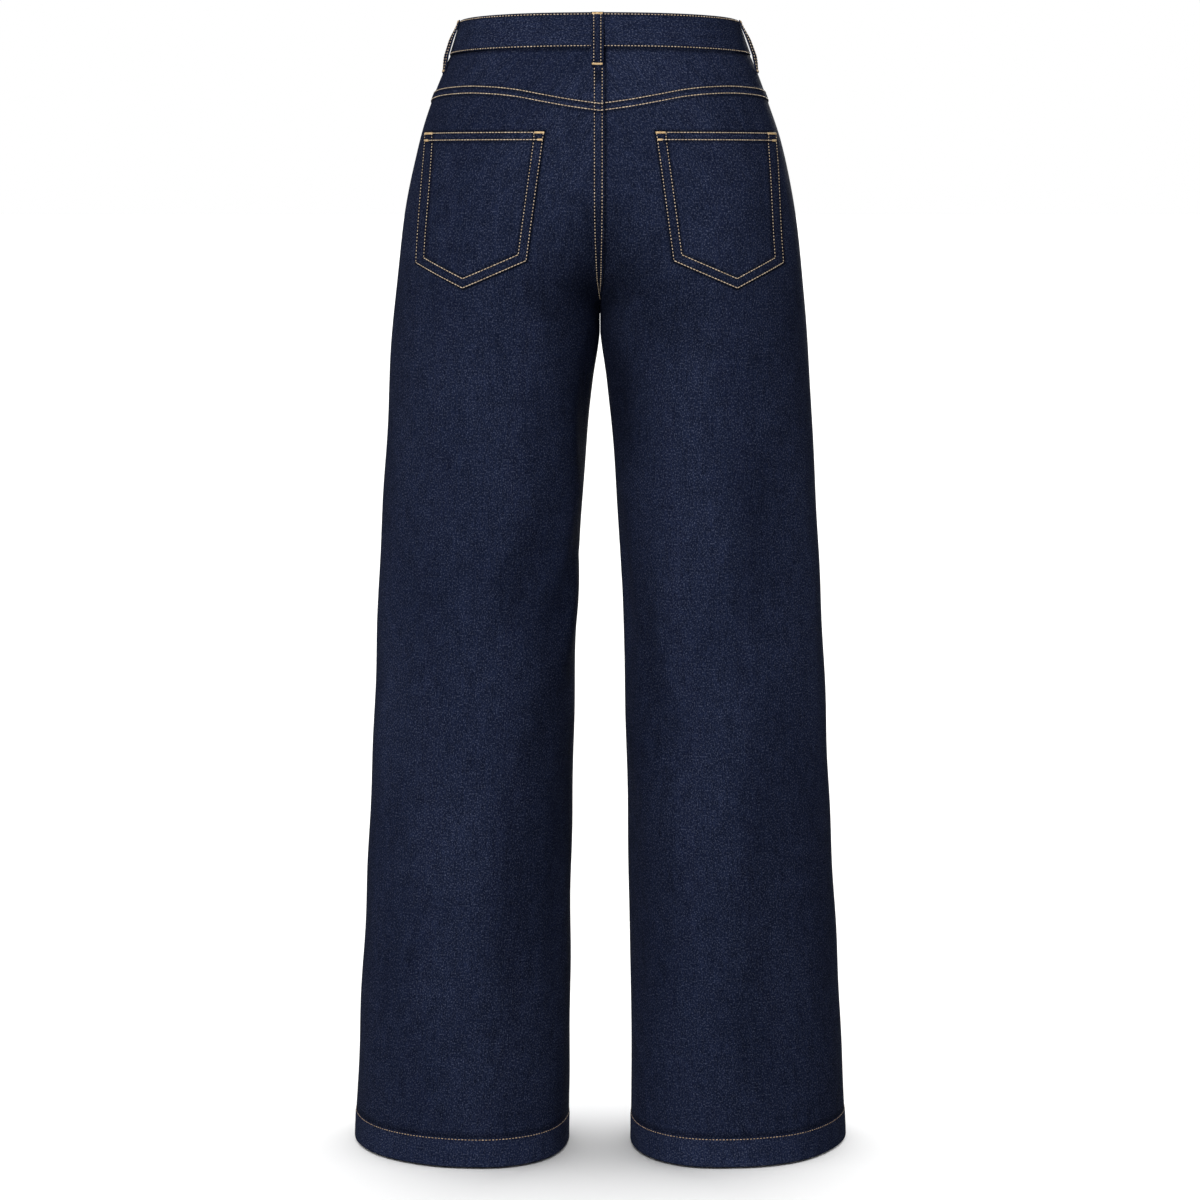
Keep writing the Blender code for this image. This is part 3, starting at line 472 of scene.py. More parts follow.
def clothFinish(name, look, corners=()):
    made = Finish(name, look["dark"], look["rough"], Specular_IOR_Level=look["specular"])
    weave = made.node("ShaderNodeUVMap", {"uv_map": "cloth"}, {})
    across = made.node("ShaderNodeSeparateXYZ", {}, {0: weave}, "X")
    down = made.node("ShaderNodeSeparateXYZ", {}, {0: weave}, "Y")
    wander = made.noise(weave, (700.0, 420.0, 1.0))
    ribs = ((down - across * look["slope"]) * (2 * math.pi / look["rib"]) + wander * 5.0).sine() * 0.5 + 0.5
    slubs = made.noise(weave, look["slubs"], 3.0, 0.6)
    streaks = made.noise(weave, look["streaks"], 2.0, 0.5)
    flecks = made.noise(weave, look["flecks"], 2.0, 0.6)
    mottle = made.noise(weave, look["mottle"], 2.0, 0.5)
    clouds = made.noise(weave, (9.0, 5.0, 1.0), 3.0, 0.55)
    yarn = slubs.between(0.36, 0.64) * 0.55 + ribs * 0.20 + streaks.between(0.36, 0.64) * 0.25
    body = made.blend(yarn, look["dark"], look["light"])
    body = made.blend(flecks.between(0.52, 0.70) * look["fleckShare"], body, look["fleck"])
    body = made.blend(clouds.between(0.35, 0.65) * look["cloudShare"], body, look["dark"])
    tone = (mottle - 0.5) * look["mottled"] + 1.0
    # The attribute holds wear, painted shade and painted light.
    if look["worn"]:
        tone = tone * (made.node("ShaderNodeAttribute", {"attribute_name": "tone"}, {}, "Fac") + 1.0)
    # A painted shadow round the back pockets.
    if len(corners):
        tone = tone * (1.0 - pocketShadowMask(made, corners) * look["patchShade"])
    body = made.node("ShaderNodeVectorMath", {"operation": "SCALE"}, {0: body, 3: tone})
    height = ribs * 0.45 + slubs * 0.55
    return made.feed(Base_Color=body, Roughness=0.98 - slubs * 0.14,
                     Normal=made.bump(height, look["depth"], look["strength"]))


# Where the painted shadow round a back pocket falls.
def pocketShadowMask(made, corners):  # 1 under a pocket, falling to 0 a little outside its edges
    spot = made.node("ShaderNodeTexCoord", {}, {}, "Object")
    out = made.node("ShaderNodeSeparateXYZ", {}, {0: spot}, "X")
    out = out.maths("ABSOLUTE", out)
    up = made.node("ShaderNodeSeparateXYZ", {}, {0: spot}, "Z")
    least = None
    for start, end in zip(corners, np.roll(corners, -1, axis=0)):
        across, down = (float(value) for value in (end - start) / np.linalg.norm(end - start))
        inside = float(down * start[0] - across * start[1]) - up * across - out * down
        least = inside if least is None else least.maths("MINIMUM", least, inside)
    near = least.between(-2.8 * mm, 0.2 * mm)
    return near * near


def threadFinish(name, dark, light):
    made = Finish(name, light, 0.55, Specular_IOR_Level=0.35, Sheen_Weight=0.15)
    spot = made.node("ShaderNodeTexCoord", {}, {}, "Object")
    speckle = made.noise(spot, (420.0, 420.0, 420.0))
    fine = made.noise(spot, (2600.0, 2600.0, 2600.0))
    colour = made.blend(speckle.between(0.35, 0.68), dark, light)
    return made.feed(Base_Color=colour, Normal=made.bump(fine, 0.0001, 0.4))


def metalFinish(name, dark, light, roughness):
    made = Finish(name, light, roughness, Metallic=1.0)
    spot = made.node("ShaderNodeTexCoord", {}, {}, "Object")
    tarnish = made.noise(spot, (260.0, 260.0, 260.0), 4.0, 0.6)
    fine = made.noise(spot, (1400.0, 1400.0, 1400.0))
    colour = made.blend(tarnish.between(0.35, 0.7), dark, light)
    return made.feed(Base_Color=colour, Roughness=roughness + tarnish * 0.25,
                     Normal=made.bump(fine, 0.00008, 0.25))


denimLook = {
    "dark": (0.0024, 0.0044, 0.0150), "light": (0.0170, 0.0246, 0.0600), "fleck": (0.105, 0.122, 0.192),
    "fleckShare": 0.72, "cloudShare": 0.30, "rough": 0.92, "specular": 0.02, "slope": 1.5, "rib": 0.0015,
    "slubs": (950.0, 210.0, 1.0), "streaks": (480.0, 26.0, 1.0), "flecks": (900.0, 640.0, 1.0),
    "mottle": (95.0, 60.0, 1.0), "mottled": 0.75, "worn": True, "patchShade": 0.62,
    "depth": 0.00025, "strength": 0.7,
}
insideLook = dict(denimLook, dark=(0.050, 0.060, 0.090), light=(0.110, 0.125, 0.165), fleck=(0.20, 0.21, 0.24),
                  fleckShare=0.5, slope=-1.5, worn=False)
tapeLook = dict(denimLook, dark=(0.006, 0.007, 0.012), light=(0.014, 0.016, 0.026), fleckShare=0.1,
                slubs=(1500.0, 1500.0, 1.0), rib=0.0008, slope=0.0, worn=False)
denim = clothFinish("denim", denimLook)
denimInside = clothFinish("denimInside", insideLook)
tape = clothFinish("zipTape", tapeLook)
thread = threadFinish("thread", (0.42, 0.31, 0.20), (0.92, 0.74, 0.53))
hemThread = threadFinish("hemThread", (0.34, 0.23, 0.14), (0.80, 0.58, 0.38))
tackThread = threadFinish("tackThread", (0.56, 0.36, 0.17), (0.92, 0.68, 0.36))
metal = metalFinish("antiqueMetal", (0.16, 0.10, 0.05), (0.46, 0.33, 0.18), 0.32)
print("finishes made")


def sideName(stem, side):
    return stem + ("_right" if side > 0 else "_left")


def newGrid(name, points, weave, shade=None):
    # A grid primitive, its points moved onto the cloth's form. Rows run down and columns across.
    # shade is how much lighter the cloth is at each point, as a power of e: wear, painted shade and painted
    # light.
    rows, columns = points.shape[:2]
    bpy.ops.object.select_all(action="DESELECT")
    bpy.ops.mesh.primitive_grid_add(x_subdivisions=columns - 1, y_subdivisions=rows - 1, size=1.0)
    piece = bpy.context.object
    piece.name = piece.data.name = name
    piece.data.vertices.foreach_set("co", points.reshape(-1))
    layer = piece.data.uv_layers.active
    layer.name = "cloth"
    corners = np.empty(len(piece.data.loops), int)
    piece.data.loops.foreach_get("vertex_index", corners)
    layer.data.foreach_set("uv", weave.reshape(-1, 2)[corners].reshape(-1))
    if shade is not None:
        tone = piece.data.attributes.new("tone", "FLOAT", "POINT")
        tone.data.foreach_set("value", np.expm1(np.broadcast_to(shade, (rows, columns))).reshape(-1))
    piece.data.update()
    return piece


def finishPiece(piece, materials, nodes=(), angle=50.0):
    piece.data.materials.clear()
    for material in materials:
        piece.data.materials.append(material)
    bpy.ops.object.select_all(action="DESELECT")
    piece.select_set(True)
    bpy.context.view_layer.objects.active = piece
    for modifier in list(piece.modifiers):
        bpy.ops.object.modifier_apply(modifier=modifier.name)
    bpy.ops.object.shade_smooth_by_angle(angle=math.radians(angle))
    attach(piece, "root")
    if nodes:
        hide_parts(*nodes)
    return piece


def shell(name, points, weave, outward, thickness=cut["denim"], materials=None, nodes=(), shade=0.0):
    # A sheet with its thickness inside. outward says that the grid's own normals point out.
    shade = np.broadcast_to(shade, points.shape[:2])
    if not outward:
        points, weave, shade = points[:, ::-1], weave[:, ::-1], shade[:, ::-1]
    piece = newGrid(name, np.ascontiguousarray(points), np.ascontiguousarray(weave), shade)
    wall = piece.modifiers.new("thickness", "SOLIDIFY")
    wall.thickness = thickness
    wall.offset = -1.0
    wall.material_offset = 1
    return finishPiece(piece, materials or (denim, denimInside), nodes)


def weaveAt(side, part, drop, near):  # metres across and up the cloth, so that every piece has one twill
    turn = side if part == "back" else -side
    over = near - form.width(part, drop)
    return np.stack((turn * over + 0.0 * drop, -drop + 0.0 * near), axis=-1)


def facesOut(side, part):
    return (side > 0) == (part == "front")


def flatArea(part, top, bottom):
    drops = np.linspace(top, bottom, 200)
    return float(np.mean(form.width(part, drops)) * (bottom - top))


# The centre back seam: the left side laps over the right, and both its rows of stitches run on the left.
seatSeam = {"lap": 4.0 * mm, "lift": 1.15 * mm, "risesFrom": 8.2 * mm, "risesTo": 6.2 * mm,
            "rows": (5.0 * mm, -2.0 * mm), "endsFrom": 0.246, "endsOver": 0.022}
# The yoke's lower edge laps over the panel, with a row of stitches on each side of the seam.
yokeSeam = {"lap": 4.4 * mm, "lift": 1.15 * mm, "risesFrom": -5.2 * mm, "risesTo": -3.6 * mm,
            "rows": (-3.1 * mm, 3.1 * mm), "paler": 0.10, "pucker": 0.10 * mm,
            "foot": steps(0.2, 0.5, 0.9, 1.5, 2.2, 3.0, 4.0, 5.2, 6.4, 7.4, 8.4, 9.2, 10.2, 11.2)}
# The front's centre seam laps left over right from the waistband to the crotch.
flySeam = {"lap": 4.5 * mm, "lift": 1.1 * mm, "risesFrom": 9.0 * mm, "risesTo": 6.5 * mm,
           "endsFrom": 0.225, "endsOver": 0.040, "length": 0.125, "width": 0.036, "corner": 0.042}
hemSeam = {"row": 26.2 * mm, "pucker": 0.10 * mm, "paler": 0.25}


# Back pockets: corners by distance from the middle plane and drop, near the solids' own.
pocket = {
    "corners": ((0.0486, 0.1012), (0.1585, 0.1012), (0.1662, 0.2196), (0.1226, 0.2424), (0.0647, 0.2172)),
    "face": 1.7 * mm, "margin": 10.2 * mm, "marginLift": 0.35 * mm, "topMargin": 9.6 * mm, "topLift": 0.45 * mm,
    "rows": (1.5 * mm, 9.0 * mm), "topRows": (1.6 * mm, 8.0 * mm), "mouth": 0.5 * mm, "marginDarker": 0.12,
    "steps": steps(0.15, 0.4, 0.8, 1.3, 1.8, 2.5, 4.0, 5.6, 7.2, 8.0, 8.8, 9.5, 10.2, 11.0, 12.2),
    "width": 0.105, "height": 0.128,
}
# The seat's denim has a painted shadow round the back pockets.
denimSeat = clothFinish("denimSeat", denimLook, np.array(pocket["corners"]))


def seamFade(seam, drop):
    return 1.0 - ease((drop - seam["endsFrom"]) / seam["endsOver"])


def centreLift(seam, side, drop, near):  # the lapped centre seam's ridge, on the side that lies on top
    if side > 0:
        return 0.0 * near
    rise = ease((seam["risesFrom"] - near) / (seam["risesFrom"] - seam["risesTo"]))
    fade = seamFade(seam, drop)
    edge = near + seam["lap"] * fade
    return fade * (seam["lift"] * rise + roll(edge, 1.2 * mm, 0.9 * mm))


def sideRoll(part, drop, near):
    edge = form.width(part, drop) - near
    inner = np.where(drop > cut["crotch"] - 0.01, np.abs(near), 1.0)
    return roll(edge, 1.8 * mm, 1.0 * mm) + roll(inner, 1.8 * mm, 1.0 * mm)


def underBand(part, drop, near):  # just below the waistband the cloth lies a little further in
    return -0.4 * mm * ease(1.0 - (drop - belowBand(part, near)) / (5 * mm))


def panelLift(side, part, drop, near):
    seam = seatSeam if part == "back" else flySeam
    lift = centreLift(seam, side, drop, near) + sideRoll(part, drop, near)
    if part == "front":
        lift = lift + underBand(part, drop, near)
    if part == "back" and side < 0:
        lift = lift + seamFade(seam, drop) * dents(near, seatSeam["rows"])
    above = cut["length"] - drop
    hemTop = hemSeam["row"] + 1.5 * mm
    lift = lift + cut["hemProud"] * ease((hemTop - above) / (1.6 * mm)) + dents(above, (hemSeam["row"],))
    ripple = puckers(near, 0.011, 2.0, 41.0, side)
    return lift + hemSeam["pucker"] * ripple * np.exp(-((above - hemSeam["row"]) / 0.010) ** 2)


# Painted shade at the seam's rows on the left, and a painted shadow of the lap's step on the right.
def seatShade(side, near):  # the centre back seam: its rows on the left, and the step down to the right
    if side > 0:
        return paintedGrooveShade["lap"] * ridge(near - seatSeam["lap"] - 0.6 * mm, 1.5 * mm)
    return paintedStitchShade(near, seatSeam["rows"])


# Wear, and painted shade along the hem's fold, below the waistband and the pocket opening, below the yoke's lap
# and at the seat seam; the turned-up hem is paler.
def panelShade(side, part, drop, near):
    shade = shadeAndWearAt(side, part, drop, near)
    above = cut["length"] - drop
    shade = shade + hemSeam["paler"] * ease((hemSeam["row"] - above) / (3 * mm))
    shade = shade + paintedGrooveShade["fold"] * ridge(above - cut["hem"] - 1.2 * mm, 1.6 * mm)
    if part == "front":
        return shade + paintedGrooveShade["belowBand"] * ridge(np.maximum(drop - topEdge(part, near), 0.0), 1.6 * mm)
    below = drop - yokeLine(near) - yokeSeam["lap"]
    shade = shade + paintedGrooveShade["yokeLap"] * ridge(below - 0.4 * mm, 1.2 * mm)
    return shade + seamFade(seatSeam, drop) * seatShade(side, near)


def panelPoint(side, part, drop, near, raised=0.0):
    return place(side, part, drop, near, panelLift(side, part, drop, near) + raised)


# A leg panel: rows and columns of its grid, with closer ones at its edges and along its seams.
panelGrid = {"upperRows": 74, "lowerRows": 168, "columns": 88, "hemRows": 10, "foldSteps": 6, "insideRows": 7,
             "tall": cut["crotch"] - 0.075, "laidOutAt": 0.076, "crowding": 1.2}
edgeSteps = steps(0.2, 0.5, 0.9, 1.4, 2.0, 3.0)
topSteps = steps(0.2, 0.5, 0.9, 1.4, 2.2, 3.1, 3.9, 4.4, 5.0, 5.8, 7.0, 9.0)
lapSteps = steps(0.2, 0.5, 0.9, 1.4, 2.0, 2.8, 3.8, 5.0, 6.2, 7.4, 8.4, 9.2, 10.4, 11.6, 12.6)


def topEdge(part, near):
    if part == "back":
        return yokeLine(near) + cut["gap"]
    return belowBand("front", near) + scoopLine(near)


def hemFold(foldTop, hemTop, radius):  # drops below the crotch, and how far in each row has turned
    lower = spread(cut["crotch"], hemTop - 2 * mm, panelGrid["lowerRows"])[1:]
    hemRows = spread(hemTop - 2 * mm, foldTop, panelGrid["hemRows"], edgeSteps[2:])[1:]
    turn = np.linspace(0.0, math.pi, panelGrid["foldSteps"] + 1)[1:]
    inside = spread(foldTop, hemTop, panelGrid["insideRows"], edgeSteps[:2])[1:]
    inside = foldTop - np.abs(inside - foldTop)
    drops = np.concatenate((lower, hemRows, foldTop + radius * np.sin(turn), inside))
    fallen = np.concatenate((np.zeros(len(lower) + len(hemRows)), radius * (1 - np.cos(turn)),
                             np.full(len(inside), 2 * radius)))
    return drops[:, None], fallen[:, None]


def panel(side, part):
    seam = seatSeam if part == "back" else flySeam
    radius = cut["hemThick"] / 2
    foldTop = cut["length"] - radius
    below, fallen = hemFold(foldTop, cut["length"] - cut["hem"], radius)
    first = np.array((0.0, *topSteps)) / panelGrid["tall"]
    share = np.linspace(0.0, 1.0, panelGrid["upperRows"] + 1)[1:]
    share = first[-1] + (1.0 - first[-1]) * (1.0 - (1.0 - share) ** panelGrid["crowding"])
    share = np.concatenate((first, share))[:, None]

    def columnsAt(drop):
        start = -seam["lap"] * seamFade(seam, drop) if side < 0 else np.full(drop.shape, cut["gap"] / 2)
        start = np.maximum(start, np.where(drop < cut["crotch"], -1.0, cut["gap"] / 2))
        end = form.width(part, drop) - cut["gap"] / 2
        return spread(start, end, panelGrid["columns"], lapSteps, edgeSteps)

    near = columnsAt(np.full((1, 1), panelGrid["laidOutAt"]))
    top = topEdge(part, near)
    upper = top + (cut["crotch"] - top) * share
    drop = np.concatenate((upper, np.broadcast_to(below, (len(below), near.shape[1]))))
    near = columnsAt(drop)
    top = topEdge(part, near[0])
    drop[:len(share)] = top + (cut["crotch"] - top) * share
    lift = panelLift(side, part, np.minimum(drop, foldTop), near)
    lift[len(share):] -= fallen
    if part == "front":  # the pocket's opening has a turned edge
        lift = lift + roll(np.abs(drop - top) + (near[0] < scoopStart()), 1.4 * mm, 0.9 * mm)
    points = place(side, part, drop, near, lift)
    name = sideName(part + "_panel", side)
    shade = panelShade(side, part, np.minimum(drop, cut["length"]), near)
    face = denimSeat if part == "back" else denim
    piece = shell(name + "_cloth", points, weaveAt(side, part, drop, near), facesOut(side, part),
                  materials=(face, denimInside), nodes=(name,), shade=shade)
    widest, bottom = float(form.width(part, cut["length"])), cut["length"] + cut["hem"]
    flatArea(part, float(np.mean(top)), bottom)


def scoopStart():
    return float(form.width("front", cut["bandWidth"] + cut["frontFall"] / 2) - cut["scoopWidth"])


def yokeLift(side, drop, near):
    line = yokeLine(near)
    over = drop - line
    rise = ease((over - yokeSeam["risesFrom"]) / (yokeSeam["risesTo"] - yokeSeam["risesFrom"]))
    lift = yokeSeam["lift"] * rise + roll(yokeSeam["lap"] - over, 1.2 * mm, 0.9 * mm)
    lift = lift + centreLift(seatSeam, side, drop, near) + underBand("back", drop, near)
    lift = lift + roll(form.width("back", drop) - near, 1.8 * mm, 1.0 * mm)
    lift = lift + dents(over, yokeSeam["rows"]) + (dents(near, seatSeam["rows"]) if side < 0 else 0.0)
    ripple = puckers(near, 0.013, 3.0, 37.0)
    return lift + yokeSeam["pucker"] * ripple * np.exp(-(drop - belowBand("back", near)) / 0.010)


# Wear, and painted shade below the waistband, along the rows and the yoke's fold and at the seat seam; the yoke
# is paler.
def yokeShade(side, drop, near):
    over = drop - yokeLine(near)
    below = np.maximum(drop - belowBand("back", near) - 0.3 * mm, 0.0)
    shade = shadeAndWearAt(side, "back", drop, near) + yokeSeam["paler"] + paintedGrooveShade["belowBand"] * ridge(below, 1.5 * mm)
    shade = shade + paintedStitchShade(over, yokeSeam["rows"])
    shade = shade + paintedGrooveShade["fold"] * ridge(over + 1.3 * mm, 1.2 * mm) + seatShade(side, near)
    if side > 0:
        return shade
    # A painted shadow under the back loop's foot.
    foot = ease((drop - 45.5 * mm) / (1.5 * mm)) * ease((58.0 * mm - drop) / (2 * mm))
    return shade + paintedGrooveShade["edge"] * foot * ease((4.6 * mm - np.abs(near - 1.5 * mm)) / mm)


def yokePoint(side, drop, near, raised=0.0):
    return place(side, "back", drop, near, yokeLift(side, drop, near) + raised)


def yoke(side):
    start = -seatSeam["lap"] if side < 0 else cut["gap"] / 2
    near = spread(start, form.width("back", 0.06) - cut["gap"] / 2, 84, lapSteps, edgeSteps)
    top, bottom = belowBand("back", near), yokeLine(near) + yokeSeam["lap"]
    drop = spread(top[:, None], bottom[:, None], 12, edgeSteps[:3], yokeSeam["foot"]).T
    share = (near - near[0]) / (near[-1] - near[0])
    start = near[0]
    end = form.width("back", drop) - cut["gap"] / 2
    near = np.where(share * (end - start) < 0.012, near + 0.0 * drop, start + share * (end - start))
    points = yokePoint(side, drop, near)
    name = sideName("yoke", side)
    piece = shell(name + "_cloth", points, weaveAt(side, "back", drop, near), facesOut(side, "back"),
                  nodes=(name,), shade=yokeShade(side, drop, near))
    float(np.mean(bottom - top) * np.mean(end))


for side in (-1, 1):
    for part in ("back", "front"):
        panel(side, part)
    yoke(side)
print("panels and yokes made")


def pocketDistances(out, drop):  # distance in from each edge, the top one first
    corners = np.array(pocket["corners"])
    found = []
    for start, end in zip(corners, np.roll(corners, -1, axis=0)):
        run = (end - start) / np.linalg.norm(end - start)
        found.append(run[0] * (drop - start[1]) - run[1] * (out - start[0]))
    return found


def pocketLift(out, drop):
    top, *others = pocketDistances(out, drop)
    around = np.minimum.reduce(others)
    lift = pocket["face"] + pocket["marginLift"] * ease((pocket["margin"] - around) / (1.2 * mm))
    lift = lift + pocket["topLift"] * ease((pocket["topMargin"] - top) / (1.2 * mm))
    lift = lift + roll(np.minimum(top, around), 1.5 * mm, 1.15 * mm)
    lift = lift + dents(around, pocket["rows"]) + dents(top, pocket["topRows"])
    middle = np.clip(around / 0.055, 0.0, 1.0)
    return lift + pocket["mouth"] * ease(middle) * np.exp(-top / 0.05)


# Wear, and painted shade at the pocket's rolled edge, along its rows and its folded margins; the margin is also
# darker.
def pocketShade(side, out, drop, near):
    top, *others = pocketDistances(out, drop)
    around = np.minimum.reduce(others)
    shade = shadeAndWearAt(side, "back", drop, near) + paintedGrooveShade["edge"] * ridge(np.minimum(top, around), 0.7 * mm)
    shade = shade + paintedStitchShade(around, pocket["rows"]) + paintedStitchShade(top, pocket["topRows"])
    for inner in (around - pocket["margin"], top - pocket["topMargin"]):
        shade = shade + paintedGrooveShade["fold"] * ridge(inner - 0.2 * mm, 0.9 * mm)
    return shade - pocket["marginDarker"] * ease((pocket["margin"] - around) / (2 * mm))


def pocketPoint(side, drop, out, raised=0.0):
    near = form.nearAt("back", drop, out)
    return place(side, "back", drop, near, pocketLift(out, drop) + raised)


def backPocket(side):
    corners = np.array(pocket["corners"])
    half = spread(0.0, pocket["width"] / 2, 14, pocket["steps"]) / pocket["width"]
    across = np.concatenate((half, 1.0 - half[-2::-1]))
    down = spread(0.0, pocket["height"], 26, pocket["steps"], pocket["steps"]) / pocket["height"]
    upper = np.interp(across, (0, 1), corners[:2, 0])
    lower = np.interp(across, (0, 0.5, 1), corners[[4, 3, 2], 0])
    fall = np.interp(across, (0, 0.5, 1), corners[[4, 3, 2], 1]) - corners[0, 1]
    out = upper + (lower - upper) * down[:, None]
    drop = corners[0, 1] + fall * down[:, None]
    near = form.nearAt("back", drop, out)
    points = place(side, "back", drop, near, pocketLift(out, drop))
    name = sideName("back_pocket", side)
    piece = shell(name + "_cloth", points, weaveAt(side, "back", drop, near), facesOut(side, "back"),
                  thickness=1.0 * mm, nodes=(name,), shade=pocketShade(side, out, drop, near))


for side in (-1, 1):
    backPocket(side)
print("back pockets made")


def flatTube(name, sections, weave, nodes, shade):
    # A closed strip of cloth: rows run round its section and columns along it, and its ends are filled.
    piece = newGrid(name, np.ascontiguousarray(sections), np.ascontiguousarray(weave), shade)
    bpy.ops.object.mode_set(mode="EDIT")
    bpy.ops.mesh.select_all(action="SELECT")
    bpy.ops.mesh.remove_doubles(threshold=0.00001)
    bpy.ops.mesh.fill_holes(sides=0)
    bpy.ops.mesh.select_all(action="SELECT")
    bpy.ops.mesh.normals_make_consistent(inside=False)
    bpy.ops.object.mode_set(mode="OBJECT")
    return finishPiece(piece, (denim,), nodes)


band = {"rows": (1.7 * mm, 29.9 * mm), "swell": 0.25 * mm, "columns": 110, "pucker": 0.10 * mm, "paler": 0.12,
        "ends": np.array(steps(0.15, 0.35, 0.7, 1.1, 1.6, 2.4)), "underFrom": 0.030}


def bandProfile():  # drop below the top edge and height in the wall's middle, round the section
    radius = cut["bandThick"] / 2
    face = np.concatenate((np.array((0.4, 1.0, 1.6, 2.4)) * mm, np.linspace(4.0, 26.5, 9) * mm,
                           np.array((28.2, 29.0, 29.6, 30.0)) * mm))
    face = np.clip(face, radius * 1.05, cut["bandWidth"] - radius * 1.05)
    face = np.unique(face)
    arc = np.linspace(0.0, math.pi, 7)
    rows = [(radius - radius * math.sin(a), radius * math.cos(a)) for a in arc[::-1]]
    rows += [(drop, radius) for drop in face]
    rows += [(cut["bandWidth"] - radius + radius * math.sin(a), radius * math.cos(a)) for a in arc]
    rows += [(drop, -radius) for drop in face[::-1][::3]]
    rows.append(rows[0])
    return np.array(rows)


def bandFace(near, down):
    lift = cut["bandProud"] + band["swell"] * np.sin(math.pi * np.clip(down / cut["bandWidth"], 0, 1))
    lift = lift + dents(down, band["rows"])
    ripple = puckers(near, 0.012, 2.5, 33.0)
    return lift + band["pucker"] * ripple * np.exp(-((down - band["rows"][1]) / 0.006) ** 2)


def bandPoint(side, part, down, near, raised=0.0):
    drop = down - waistLine(part, near)
    return place(side, part, drop, near, bandFace(near, down) + raised)


def waistband():
    profile = bandProfile()
    radius = cut["bandThick"] / 2
    count, ends = band["columns"], band["ends"]
    frontWidth, backWidth = (float(form.width(part, cut["bandWidth"] / 2)) for part in ("front", "back"))
    under = np.concatenate((np.linspace(1 * mm - band["underFrom"], 0.0315, 26),
                            cut["underEnd"] - ends[::-1] + 0.15 * mm))
    far = frontWidth + 2 * backWidth
    # Each run: side, part, places, and the length along the strip as a start and a turn for near.
    runs = ((-1, "front", np.concatenate((ends, np.linspace(4.5 * mm, frontWidth, count))), -frontWidth, 1),
            (-1, "back", np.linspace(backWidth, 0.0, count)[1:], frontWidth, -1),
            (1, "back", np.linspace(0.0, backWidth, count)[1:], frontWidth, 1),
            (1, "front", np.linspace(frontWidth, band["underFrom"], count - 10)[1:], far, -1),
            (1, "front", -under, far, -1))
    columns, weave = [], []
    for index, (side, part, nears, begin, turn) in enumerate(runs):
        last = index == len(runs) - 1
        width = form.width(part, profile[:, 0])
        for near in nears:
            # Where the far end passes under the buttonhole end it steps in by a little over one thickness.
            ramp = np.clip((cut["underRamp"] - near) / (cut["underRamp"] - cut["underRampStop"]), 0.0, 1.0)
            shift = -cut["underStep"] * ramp ** 2 * (3 - 2 * ramp) if last else 0.0
            fromEnd = near if index == 0 else (near + cut["underEnd"] if last else 1.0)
            thin = math.sqrt(max(1.0 - max(1.0 - fromEnd / radius, 0.0) ** 2, 0.02))
            scale = 1.0 if last or near < 6 * mm else width / (frontWidth if part == "front" else backWidth)
            outer = np.where(profile[:, 1] > 0, bandFace(near, profile[:, 0]) - cut["bandProud"], 0.0)
            lift = cut["bandProud"] - radius + profile[:, 1] * thin + outer + shift
            columns.append(place(side, part, profile[:, 0] - waistLine(part, near), near * scale, lift))
            weave.append(np.column_stack((profile[:, 1] * 2 - profile[:, 0] + 0.7,
                                          np.full(len(profile), begin + turn * near))))
    points = np.stack(columns, axis=1)
    # Painted shade along the rows on the outside and a painted shadow along the lower edge; the band is paler.
    outside = profile[:, 1:] > 0.5 * radius
    shade = outside * paintedStitchShade(profile[:, :1], band["rows"]) + band["paler"]
    shade = shade + paintedGrooveShade["edge"] * ease((profile[:, :1] - 30.4 * mm) / mm)
    piece = flatTube("waistband_cloth", points, np.stack(weave, axis=1), ("waistband",), shade)


waistband()
print("waistband made")

# Belt loops: where each lies, from the centre seam, and how its middle stands off the waistband.
loops = {"width": 11.5 * mm, "thick": 1.5 * mm, "length": 48.6 * mm, "clearance": 5.6 * mm, "top": -0.2 * mm,
         "rises": 0.42, "falls": 0.18, "rows": (-3.2 * mm, 3.2 * mm), "darker": 1.3, "back": 2.4 * mm,
         "front": 62.0 * mm, "side": 0.830, "upright": 0.5, "sideTilt": 0.18, "sideClearance": 3.0 * mm,
         "sideRises": 0.42, "sideFalls": 0.30}


def loopLift(share, over, standing):
    clearance, rises, falls, tilt = standing
    raised = ease(np.minimum(share / rises, (1.0 - share) / falls))
    seat = cut["bandProud"] * (1.0 - ease((share * loops["length"] - cut["bandWidth"]) / (5 * mm)))
    return seat + cut["gap"] + (clearance - cut["gap"] + tilt * over) * raised


def loopPoint(loop, share, over, raised=0.0):
    node, side, part, centre, standing = loop
    drop = loops["top"] - waistLine(part, centre) + share * loops["length"]
    if node == "belt_loop_back":  # its foot lies on the centre seam's ridge
        raised = raised + seatSeam["lift"] * ease((share - 0.8) / 0.1)
    lift = loopLift(share, over, standing) + loops["thick"] + raised
    if "side" in node:  # the body widens below, and a side loop still hangs nearly upright
        level = loops["top"] - waistLine(part, centre) + 0.6 * loops["length"]
        centre = centre * (1.0 + loops["upright"] * (form.width(part, drop) / form.width(part, level) - 1.0))
    return place(side, part, drop, centre + over + 0.0 * share, lift)


